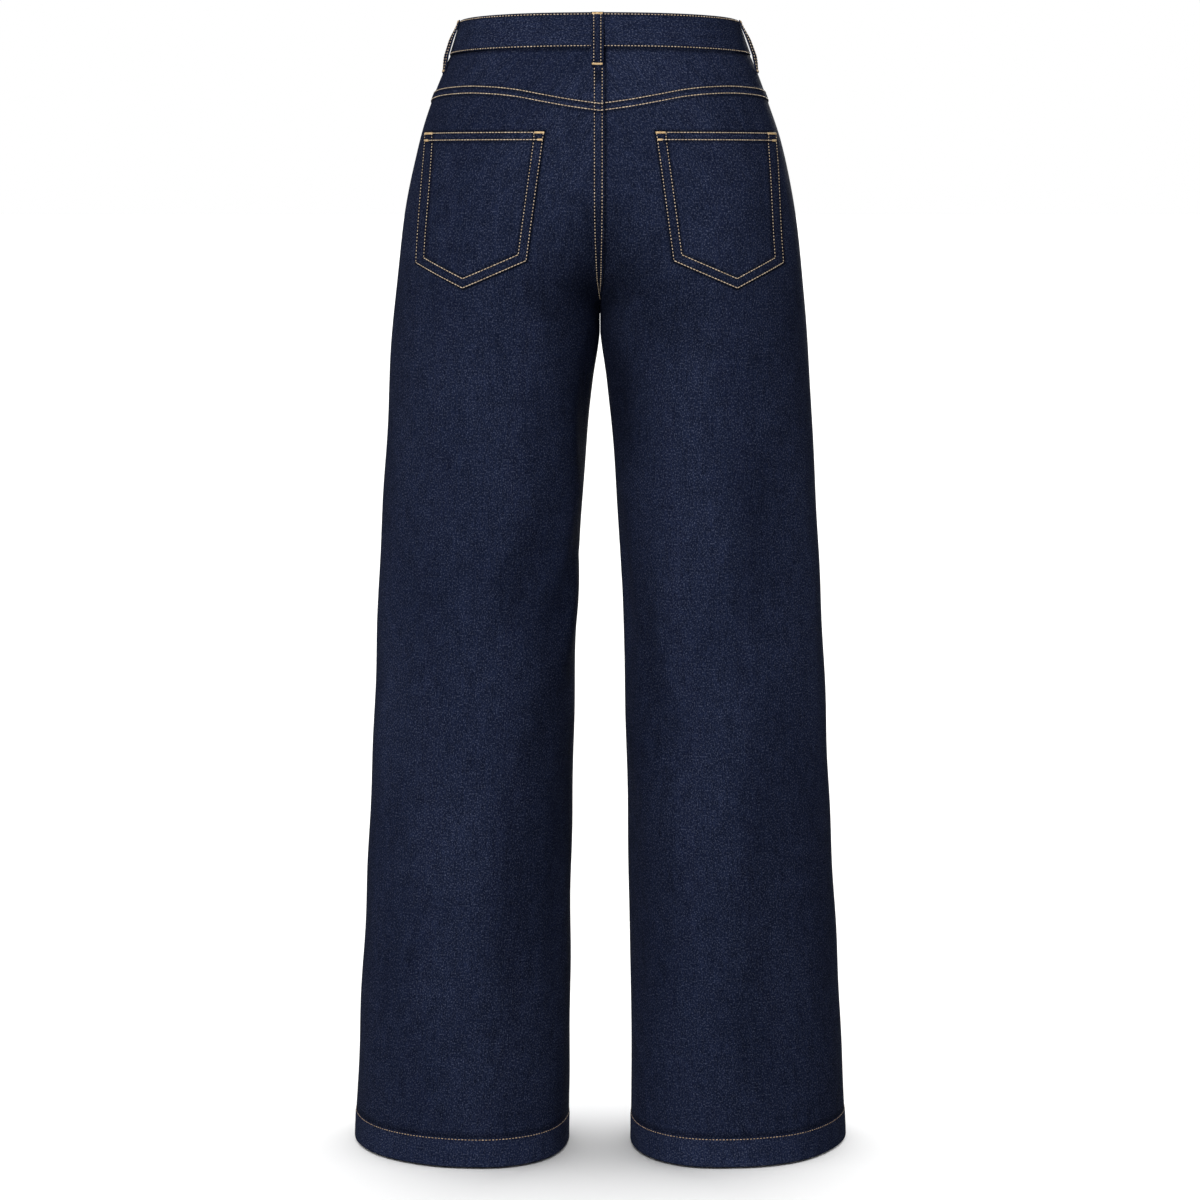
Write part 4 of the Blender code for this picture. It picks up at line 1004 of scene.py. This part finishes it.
def beltLoop(loop):
    half = loops["width"] / 2
    angles = np.linspace(0.0, 2 * math.pi, 29)
    over = half * np.sign(np.cos(angles)) * np.abs(np.cos(angles)) ** 0.28
    high = 0.5 + 0.5 * np.sign(np.sin(angles)) * np.abs(np.sin(angles)) ** 0.5
    ends = np.array((0.0, 0.004, 0.012, 0.022))
    share = np.concatenate((ends, np.linspace(0.035, 0.965, 44), 1.0 - ends[::-1]))
    over, share = np.meshgrid(over, share, indexing="ij")
    full = np.sqrt(np.clip(1.0 - (1.0 - np.minimum(share, 1.0 - share) / 0.022).clip(0) ** 2, 0.05, 1.0))
    height = (high[:, None] - 1.0) * loops["thick"]
    height = (height + loops["thick"] / 2) * full - loops["thick"] / 2
    height = height + dents(over, loops["rows"], 0.18 * mm, 0.8 * mm) * (high[:, None] > 0.6)
    points = loopPoint(loop, share, over, height)
    weave = np.stack((over + height, -share * loops["length"]), axis=-1)
    # Painted shade along the rows of stitches.
    shade = loops["darker"] * paintedStitchShade(over, loops["rows"])
    piece = flatTube(loop[0] + "_cloth", points, weave, (loop[0],), shade)


sideCentre = float(loops["side"] * form.width("back", cut["bandWidth"]))
standing = (loops["clearance"], loops["rises"], loops["falls"], 0.0)
sideStanding = tuple(loops[key] for key in ("sideClearance", "sideRises", "sideFalls", "sideTilt"))
loopPlaces = [("belt_loop_back", -1, "back", loops["back"], standing)]
for side in (-1, 1):
    loopPlaces.append((sideName("belt_loop_side", side), side, "back", sideCentre, sideStanding))
    loopPlaces.append((sideName("belt_loop_front", side), side, "front", loops["front"], standing))
for loop in loopPlaces:
    beltLoop(loop)
print("belt loops made")


# Hidden pieces of the front: the facings in the pocket openings, and the fly's layers and zip.
def frontSheet(name, side, near, top, bottom, lift, thickness, nodes, materials=None):
    share = np.linspace(0.0, 1.0, 40)[:, None]
    drop = top + (bottom - top) * share
    points = place(side, "front", drop, near + 0.0 * drop, lift)
    piece = shell(name, points, weaveAt(side, "front", drop, near + 0.0 * drop), facesOut(side, "front"),
                  thickness, materials, nodes)


fly = {"halfOpen": 4.7 * mm, "facingWidth": 39.0 * mm, "corner": 30.0 * mm, "facingThick": 1.0 * mm,
       "shieldPast": 14.0 * mm, "shieldWidth": 34.0 * mm, "shieldLength": 133.0 * mm,
       "tape": 14.0 * mm, "tapeLift": -4.2 * mm, "tapeThick": 0.8 * mm,
       "zipLength": 115.0 * mm, "toothPitch": 1.9 * mm, "behindBand": 3.0 * mm}

for side in (-1, 1):
    width = form.width("front", cut["bandWidth"])
    near = np.linspace(scoopStart() - 0.012, width - cut["gap"] / 2, 50)
    top = belowBand("front", near) - fly["behindBand"]
    bottom = cut["bandWidth"] + cut["scoopDepth"] + cut["facingBelow"]
    share = np.linspace(0.0, 1.0, 40)[:, None]
    drop = top + (bottom - top) * share
    end = form.width("front", drop) - cut["gap"] / 2
    near = near[0] + (end - near[0]) * np.linspace(0.0, 1.0, 50)
    lift = -cut["denim"] - cut["facing"]
    points = place(side, "front", drop, near, lift + roll(end - near, 1.8 * mm, 0.8 * mm))
    name = sideName("front_pocket_facing", side)
    piece = shell(name + "_cloth", points, weaveAt(side, "front", drop, near), facesOut(side, "front"),
                  nodes=(name,))

near = np.linspace(fly["halfOpen"], fly["facingWidth"], 24)
rounding = 1.0 - np.sqrt(1.0 - ((near - near[0]) / fly["facingWidth"]) ** 2)
curve = flySeam["length"] - fly["corner"] * rounding
top = belowBand("front", near)
frontSheet("fly_facing_cloth", -1, near, top, top + curve, -cut["denim"] - cut["lining"], fly["facingThick"],
           ("fly_facing",))
near = np.linspace(-fly["tape"], fly["tape"], 20)
top = belowBand("front", near)
frontSheet("zip_tapes", 1, near, top, top + fly["zipLength"], fly["tapeLift"], fly["tapeThick"],
           ("zip",), (tape, tape))
near = np.linspace(fly["shieldPast"] - fly["shieldWidth"], fly["shieldPast"], 24)
top = belowBand("front", near)
shieldLift = fly["tapeLift"] - fly["tapeThick"] - cut["lining"]
frontSheet("fly_shield_cloth", 1, near, top, top + fly["shieldLength"], shieldLift, cut["denim"],
           ("fly_shield",))
print("fly layers made")


def template(kind, **sizes):  # a small shape, modelled once, as arrays of its points and faces
    bpy.ops.object.select_all(action="DESELECT")
    if kind == "stitch":
        turned = (0, math.pi / 2, 0)
        bpy.ops.mesh.primitive_cylinder_add(vertices=6, radius=0.5, depth=1.0, rotation=turned)
    else:
        bpy.ops.mesh.primitive_cube_add(size=1.0)
    piece = bpy.context.object
    bpy.ops.object.transform_apply(location=False, rotation=True, scale=False)
    edge = piece.modifiers.new("edges", "BEVEL")
    edge.width = sizes["bevel"]
    edge.segments = 1
    edge.limit_method = "ANGLE"
    edge.angle_limit = math.radians(70)
    bpy.ops.object.modifier_apply(modifier=edge.name)
    points = np.array([vertex.co for vertex in piece.data.vertices])
    faces = [tuple(face.vertices) for face in piece.data.polygons]
    bpy.data.objects.remove(piece)
    return points, faces


stitchShape = template("stitch", bevel=0.16)
toothShape = template("tooth", bevel=0.12)


def copies(name, shape, centres, along, out, sizes, material, nodes=()):
    # Copies of one shape: along and out are its directions at each place, sizes its three lengths.
    points, faces = shape
    along = along / np.linalg.norm(along, axis=1, keepdims=True)
    out = out - along * np.sum(along * out, axis=1, keepdims=True)
    out = out / np.linalg.norm(out, axis=1, keepdims=True)
    over = np.cross(out, along)
    placed = (centres[:, None] + points[None, :, :1] * (along * sizes[:, :1])[:, None]
              + points[None, :, 1:2] * (over * sizes[:, 1:2])[:, None]
              + points[None, :, 2:] * (out * sizes[:, 2:])[:, None])
    allFaces = [tuple(index + i * len(points) for index in face) for i in range(len(centres)) for face in faces]
    mesh = bpy.data.meshes.new(name)
    mesh.from_pydata(placed.reshape(-1, 3).tolist(), [], allFaces)
    piece = bpy.data.objects.new(name, mesh)
    bpy.context.scene.collection.objects.link(piece)
    return finishPiece(piece, (material,), nodes, angle=75.0)


# The waist button: a turned head with a rolled rim and a plain ring, on its post.
button = {"fromEdge": 17.0 * mm, "post": 2.0 * mm,
          "head": ((0.0, 2.4), (1.6, 2.5), (3.0, 2.35), (3.7, 1.9), (4.3, 1.75), (5.4, 1.8), (6.2, 2.2),
                   (6.9, 2.5), (7.6, 2.35), (8.2, 1.8), (8.5, 1.1), (8.2, 0.4), (7.4, 0.05), (2.0, 0.0))}

# Topstitching: length of a stitch with its gap, share that shows, width and height of the thread.
sewing = {"pitch": 3.0 * mm, "shown": 0.46, "width": 0.80 * mm, "height": 0.62 * mm, "sunk": 0.22 * mm,
          "uneven": 0.07, "barPitch": 0.42 * mm, "barHalf": 0.85 * mm}
seams = {}


def sew(group, point, drop, near, shown=None, pitch=None, material=thread):
    # A row of stitches along a path on a piece: point(drop, near, raised) is that piece's surface.
    drop, near = np.broadcast_arrays(np.asarray(drop, float), np.asarray(near, float))
    small = 0.2 * mm
    path = point(drop, near, 0.0)
    raised = point(drop, near, small) - path
    normal = np.cross(point(drop, near + small, 0.0) - path, point(drop + small, near, 0.0) - path)
    normal *= np.sign(np.sum(normal * raised, axis=1, keepdims=True))
    normal /= np.linalg.norm(normal, axis=1, keepdims=True)
    run = np.concatenate(([0.0], np.cumsum(np.linalg.norm(np.diff(path, axis=0), axis=1))))
    count = max(int(round(run[-1] / (pitch or sewing["pitch"]))), 1)
    step = run[-1] / count
    length = step * (shown or sewing["shown"]) * (1 + rng.uniform(-1, 1, count) * sewing["uneven"])
    middle = (np.arange(count) + 0.5) * step

    def at(values, places):
        return np.column_stack([np.interp(places, run, values[:, axis]) for axis in range(3)])

    start, end = at(path, middle - length / 2), at(path, middle + length / 2)
    out = at(normal, middle)
    size = np.column_stack((length, np.full(count, sewing["width"]) * (1 + rng.uniform(-1, 1, count) * 0.08),
                            np.full(count, sewing["height"])))
    centre = at(path, middle) * 0.5 + (start + end) * 0.25 + out * (sewing["height"] / 2 - sewing["sunk"])
    seams.setdefault((group, material.name), []).append((centre, end - start, out, size))


def bartack(group, point, drop, near, length, crosswise):
    # A bar of tight stitches across its length, centred on a place. crosswise bars run round the body.
    count = int(length / sewing["barPitch"])
    for offset in (np.arange(count) - (count - 1) / 2) * sewing["barPitch"]:
        half = sewing["barHalf"] * (1 + rng.uniform(-0.08, 0.08)) * np.array((-1.0, 1.0))
        shift = (half, offset) if crosswise else (offset, half)
        sew(group, point, drop + shift[0], near + shift[1], shown=1.0, pitch=1.0, material=tackThread)


def sewSeat():
    for row in seatSeam["rows"]:
        line = float(yokeLine(row)) + yokeSeam["lap"]
        drop = np.linspace(float(belowBand("back", row)) + 0.4 * mm, line, 60)
        sew("seat", partial(yokePoint, -1), drop, row)
        drop = np.linspace(line + 0.6 * mm, seatSeam["endsFrom"] + 0.014, 160)
        fade = seamFade(seatSeam, drop)
        sew("seat", partial(panelPoint, -1, "back"), drop, row * fade + 1.5 * mm * (1 - fade))


def sewYokes():
    for side in (-1, 1):
        start = -seatSeam["lap"] + 0.8 * mm if side < 0 else seatSeam["lap"] + 0.6 * mm
        near = np.linspace(start, float(form.width("back", 0.07)) - 1.0 * mm, 200)
        for row in yokeSeam["rows"]:
            sew(sideName("yoke", side), partial(yokePoint, side), yokeLine(near) + row, near, shown=0.80)


def sewBand():
    starts = {(-1, "front"): 2 * mm, (1, "front"): 1 * mm}
    for row in band["rows"]:
        for side in (-1, 1):
            for part in ("back", "front"):
                middle = form.width(part, cut["bandWidth"] / 2)
                near = np.linspace(starts.get((side, part), 0.0), float(middle), 260)
                near = near * form.width(part, row) / middle
                sew("waistband", partial(bandPoint, side, part), row, near, shown=0.56)
    down = np.linspace(*band["rows"], 40)
    sew("waistband", partial(bandPoint, -1, "front"), down, 2.2 * mm)


def sewHems():
    for side in (-1, 1):
        for part in ("back", "front"):
            drop = np.full(300, cut["length"] - hemSeam["row"])
            near = np.linspace(0.4 * mm, float(form.width(part, drop[0])) - 0.4 * mm, 300)
            point = lambda d, n, r: place(side, part, d, n, r + cut["hemProud"] / 2 + dents(0.0, (0.0,)))
            sew(sideName("hem", side), point, drop, near, shown=0.60, pitch=3.2 * mm, material=hemThread)


def offsetCorners(distances):  # the pocket's corners moved in by a distance for each edge
    corners = np.array(pocket["corners"])
    lines = []
    for start, end, distance in zip(corners, np.roll(corners, -1, axis=0), distances):
        run = (end - start) / np.linalg.norm(end - start)
        lines.append((start + distance * np.array((-run[1], run[0])), run))
    found = []
    for (fromA, runA), (fromB, runB) in zip([lines[-1], *lines[:-1]], lines):
        share = np.linalg.solve(np.column_stack((runA, -runB)), fromB - fromA)[0]
        found.append(fromA + share * runA)
    return np.array(found)


def sewPocket(side):
    group = sideName("back_pocket", side)
    point = partial(pocketPoint, side)

    def line(start, end, **style):
        out = np.linspace(start[0], end[0], 60)
        drop = np.linspace(start[1], end[1], 60)
        sew(group, point, drop, out, **style)

    outer, inner = pocket["rows"]
    first, second = (offsetCorners((top, outer, outer, outer, outer)) for top in pocket["topRows"])
    third = offsetCorners((pocket["topRows"][1] + 2 * mm, inner, inner, inner, inner))
    for ring in (first, second):
        line(ring[0], ring[1], shown=0.80)
    for ring in (first, third):
        for i, shown in ((1, None), (2, 0.78), (3, 0.78), (4, None)):
            line(ring[i], ring[(i + 1) % 5], shown=shown)
    for ring, down, inset, length in ((first, 0.1 * mm, 3.6 * mm, 8.6 * mm), (second, 0.0, 2.2 * mm, 4.6 * mm)):
        for corner, turn in ((ring[0], 1), (ring[1], -1)):
            bartack(group, point, corner[1] + down, corner[0] + turn * inset, length, True)
    for corner, turn in ((second[0], 1), (second[1], -1)):
        inset = corner[0] + turn * (inner - outer)
        line((inset, first[0][1]), (inset, second[0][1] + 1.2 * mm))


def scoopPath(offset):  # the front pocket's edge, moved into the panel
    near = scoopStart() + cut["scoopWidth"] * np.linspace(0.0, 1.0, 160) ** 2.2
    near = np.concatenate((near, np.linspace(near[-1], float(form.width("front", 0.11)) - 0.8 * mm, 40)[1:]))
    drop = belowBand("front", near) + scoopLine(near)
    across, down = np.gradient(near), np.gradient(drop)
    size = np.hypot(across, down)
    near, drop = near - offset * down / size, drop + offset * across / size
    keep = drop > belowBand("front", near) + 0.5 * mm
    return drop[keep], near[keep]


def sewFront():
    for side in (-1, 1):
        for offset in (1.8 * mm, 8.2 * mm):
            drop, near = scoopPath(offset)
            sew(sideName("front_pocket", side), partial(panelPoint, side, "front"), drop, near, shown=0.82)
    left = partial(panelPoint, -1, "front")
    foot = float(belowBand("front", 0.0)) + flySeam["length"]
    for width in (flySeam["width"], flySeam["width"] - 6.2 * mm):
        start = float(belowBand("front", width)) + 0.6 * mm
        turnAt = foot - (flySeam["width"] - width) - flySeam["corner"]
        angle = np.linspace(0.0, math.pi / 2 * 0.985, 80)
        drop = np.concatenate((np.linspace(start, turnAt, 60), turnAt + flySeam["corner"] * np.sin(angle)))
        near = np.concatenate((np.full(60, width), width * np.cos(angle)))
        sew("fly", left, drop, near, shown=0.8)
    edge = -flySeam["lap"] + 1.8 * mm
    drop = np.linspace(float(belowBand("front", 0.0)) + 0.6 * mm, flySeam["endsFrom"] + 0.015, 200)
    for drop, row, end in ((drop, edge, 1.5 * mm), (drop[drop > foot + 1 * mm], edge + 6.4 * mm, 3.0 * mm)):
        fade = seamFade(flySeam, drop)
        sew("fly", left, drop, row * fade + end * (1 - fade))
    bartack("fly", left, foot - 1 * mm, 0.5 * mm, 7.5 * mm, True)
    bartack("fly", left, foot - 20 * mm, flySeam["width"] - 6.5 * mm, 7.5 * mm, False)


def sewButtonhole():  # tight stitches on both sides of the slit, and a bar at its end
    point = partial(bandPoint, -1, "front")
    middle = cut["bandWidth"] / 2
    start, end = button["fromEdge"] - 5 * mm, button["fromEdge"] + 16 * mm
    for down in (middle - 1.3 * mm, middle + 1.3 * mm):
        bartack("buttonhole", point, down, (start + end) / 2, end - start, True)
    bartack("buttonhole", point, middle, end + 0.4 * mm, 5 * mm, False)


def sewLoops():
    length = loops["length"]
    for loop in loopPlaces:
        def point(drop, near, raised):
            return loopPoint(loop, drop / length, near, raised)

        for row in loops["rows"]:
            sew("loops", point, np.linspace(1.2 * mm, length - 1.4 * mm, 90), row, pitch=2.8 * mm)
        bartack("loops", point, 1.3 * mm, 0.0, 9.6 * mm, True)
        bartack("loops", point, length - 2.2 * mm, 0.0, 9.6 * mm, True)


sewSeat()
sewYokes()
sewBand()
sewHems()
for side in (-1, 1):
    sewPocket(side)
sewFront()
sewButtonhole()
sewLoops()
finishes = {material.name: material for material in (thread, hemThread, tackThread)}
total = 0
for (group, materialName), rows in seams.items():
    centres, along, out, sizes = (np.concatenate(values) for values in zip(*rows))
    stem = "bartacks_" if materialName == "tackThread" else "stitches_"
    copies(stem + group, stitchShape, centres, along, out, sizes, finishes[materialName])
    total += len(centres)
print("stitches made:", total)

# The zip's teeth, in two rows that mesh, under the slider.
teeth = int(fly["zipLength"] / fly["toothPitch"]) - 2
drops, across = [], []
for i in range(teeth):
    for turn in (-1, 1):
        drops.append(float(belowBand("front", 0.0)) + (i + 1 + 0.25 * turn) * fly["toothPitch"])
        across.append(turn * 0.9 * mm)
drops, across = np.array(drops), np.array(across)
teethPlace = place(1, "front", drops, across, fly["tapeLift"] + 0.35 * mm)
along, out, sizes = (np.tile(values, (len(drops), 1))
                     for values in ((1.0, 0.0, 0.0), (0.0, 1.0, 0.0), (2.6 * mm, 0.8 * mm, 1.0 * mm)))
copies("zip_teeth", toothShape, teethPlace, along, out, sizes, metal)


def frontSlope(drop, near):
    here, below = (place(1, "front", np.array(d), np.array(near)) for d in (drop, drop + 0.01))
    return here, math.atan2(below[1] - here[1], 0.01)


def waistButton():
    drop = cut["bandWidth"] / 2 + cut["frontFall"]
    here, slope = frontSlope(drop, -button["fromEdge"])
    head = cut["bandProud"] + band["swell"] + 0.15 * mm
    foot = cut["bandProud"] - cut["underStep"] + cut["gap"]
    profile = [(radius * mm, head + height * mm) for radius, height in button["head"]]
    profile += [(button["post"], foot), (0.0, foot)]
    bpy.ops.object.select_all(action="DESELECT")
    mesh = bpy.data.meshes.new("waist_button_metal")
    mesh.from_pydata([(x, 0.0, z) for x, z in profile], [(i, i + 1) for i in range(len(profile) - 1)], [])
    piece = bpy.data.objects.new("waist_button_metal", mesh)
    bpy.context.scene.collection.objects.link(piece)
    bpy.context.view_layer.objects.active = piece
    piece.select_set(True)
    bpy.ops.object.mode_set(mode="EDIT")
    bpy.ops.mesh.select_all(action="SELECT")
    bpy.ops.mesh.spin(steps=48, angle=2 * math.pi, center=(0, 0, 0), axis=(0, 0, 1))
    bpy.ops.mesh.select_all(action="SELECT")
    bpy.ops.mesh.remove_doubles(threshold=0.00002)
    bpy.ops.mesh.normals_make_consistent(inside=False)
    bpy.ops.object.mode_set(mode="OBJECT")
    piece.location = here
    piece.rotation_euler = (-math.pi / 2 + slope, 0.0, 0.0)
    bpy.ops.object.transform_apply(location=True, rotation=True, scale=False)
    finishPiece(piece, (metal,), ("waist_button",), angle=40.0)


waistButton()
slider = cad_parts["zip_slider"]
slider.data.materials.clear()
slider.data.materials.append(metal)
print("zip and button made")


# The camera at the photograph's viewing angle, a pale floor and soft studio light.
studio = {"distance": 3.2, "aim": -0.53738, "pitch": 6.9756, "lens": 101.904, "floor": -1.0572,
          "floorSize": 400.0, "backdrop": 1.0, "sky": 0.16, "floorLight": 5.3,
          "lamp": (0.7, 3.4, 0.7), "lampSize": 1.0, "lampPower": 108.0, "middle": -0.55}


def lookFrom():
    pitch = math.radians(studio["pitch"])
    bpy.ops.object.camera_add()
    camera = bpy.context.object
    back, up = studio["distance"] * math.cos(pitch), studio["distance"] * math.sin(pitch)
    camera.location = (0.0, -back, studio["aim"] + up)
    camera.rotation_euler = (math.pi / 2 - pitch, 0.0, 0.0)
    camera.data.sensor_width = 36.0
    camera.data.lens = studio["lens"]
    camera.data.clip_end = 100.0
    bpy.context.scene.camera = camera


def onlyOn(name, pieces):  # a collection that a light can be kept to
    group = bpy.data.collections.new(name)
    for piece in pieces:
        group.objects.link(piece)
    return group


def areaLight(name, location, target, size, energy, lit):
    bpy.ops.object.light_add(type="AREA", location=location)
    light = bpy.context.object
    light.name = name
    light.data.shape = "DISK"
    light.data.size = size
    light.data.energy = energy
    light.light_linking.receiver_collection = lit
    light.visible_camera = False
    away = np.array(location) - np.array(target)
    flat = math.hypot(away[0], away[1])
    light.rotation_euler = (math.atan2(flat, away[2]), 0.0, math.atan2(away[1], away[0]) + math.pi / 2)


def buildStudio():
    lookFrom()
    bpy.ops.mesh.primitive_plane_add(size=studio["floorSize"], location=(0.0, 0.0, studio["floor"]))
    floor = bpy.context.object
    floor.name = "floor"
    bpy.ops.object.transform_apply(location=True, rotation=False, scale=False)
    pale = Finish("paleFloor", (0.93, 0.93, 0.93), 0.9, Specular_IOR_Level=0.1)
    floor.data.materials.append(pale.material)
    floor.visible_diffuse = False  # the floor's bounce would light the legs from below
    world = bpy.data.worlds.new("studio")
    bpy.context.scene.world = world
    world.use_nodes = True
    sky = world.node_tree.nodes["Background"]
    sky.inputs["Color"].default_value = (1.0, 1.0, 1.0, 1.0)
    seen = world.node_tree.nodes.new("ShaderNodeLightPath")
    strength = world.node_tree.nodes.new("ShaderNodeMapRange")
    strength.inputs["To Min"].default_value = studio["sky"]
    strength.inputs["To Max"].default_value = studio["backdrop"]
    world.node_tree.links.new(seen.outputs["Is Camera Ray"], strength.inputs["Value"])
    world.node_tree.links.new(strength.outputs[0], sky.inputs["Strength"])
    bpy.ops.object.light_add(type="SUN", location=(0.0, 0.0, 3.0))
    overhead = bpy.context.object
    overhead.name = "overheadLight"
    overhead.rotation_euler = (math.radians(40), 0.0, math.pi)
    overhead.data.angle = math.radians(150)
    overhead.data.energy = studio["floorLight"]
    overhead.light_linking.receiver_collection = onlyOn("floorOnly", [floor])
    pieces = [piece for piece in bpy.data.objects if piece.type == "MESH" and piece != floor]
    garment = onlyOn("garmentOnly", pieces)
    for name, turn in (("keyLight", -1), ("backLight", 1)):
        location = tuple(turn * value for value in studio["lamp"][:2]) + studio["lamp"][2:]
        target = (0.0, 0.0, studio["middle"])
        areaLight(name, location, target, studio["lampSize"], studio["lampPower"], garment)
    bpy.context.scene.view_settings.view_transform = "Standard"


buildStudio()
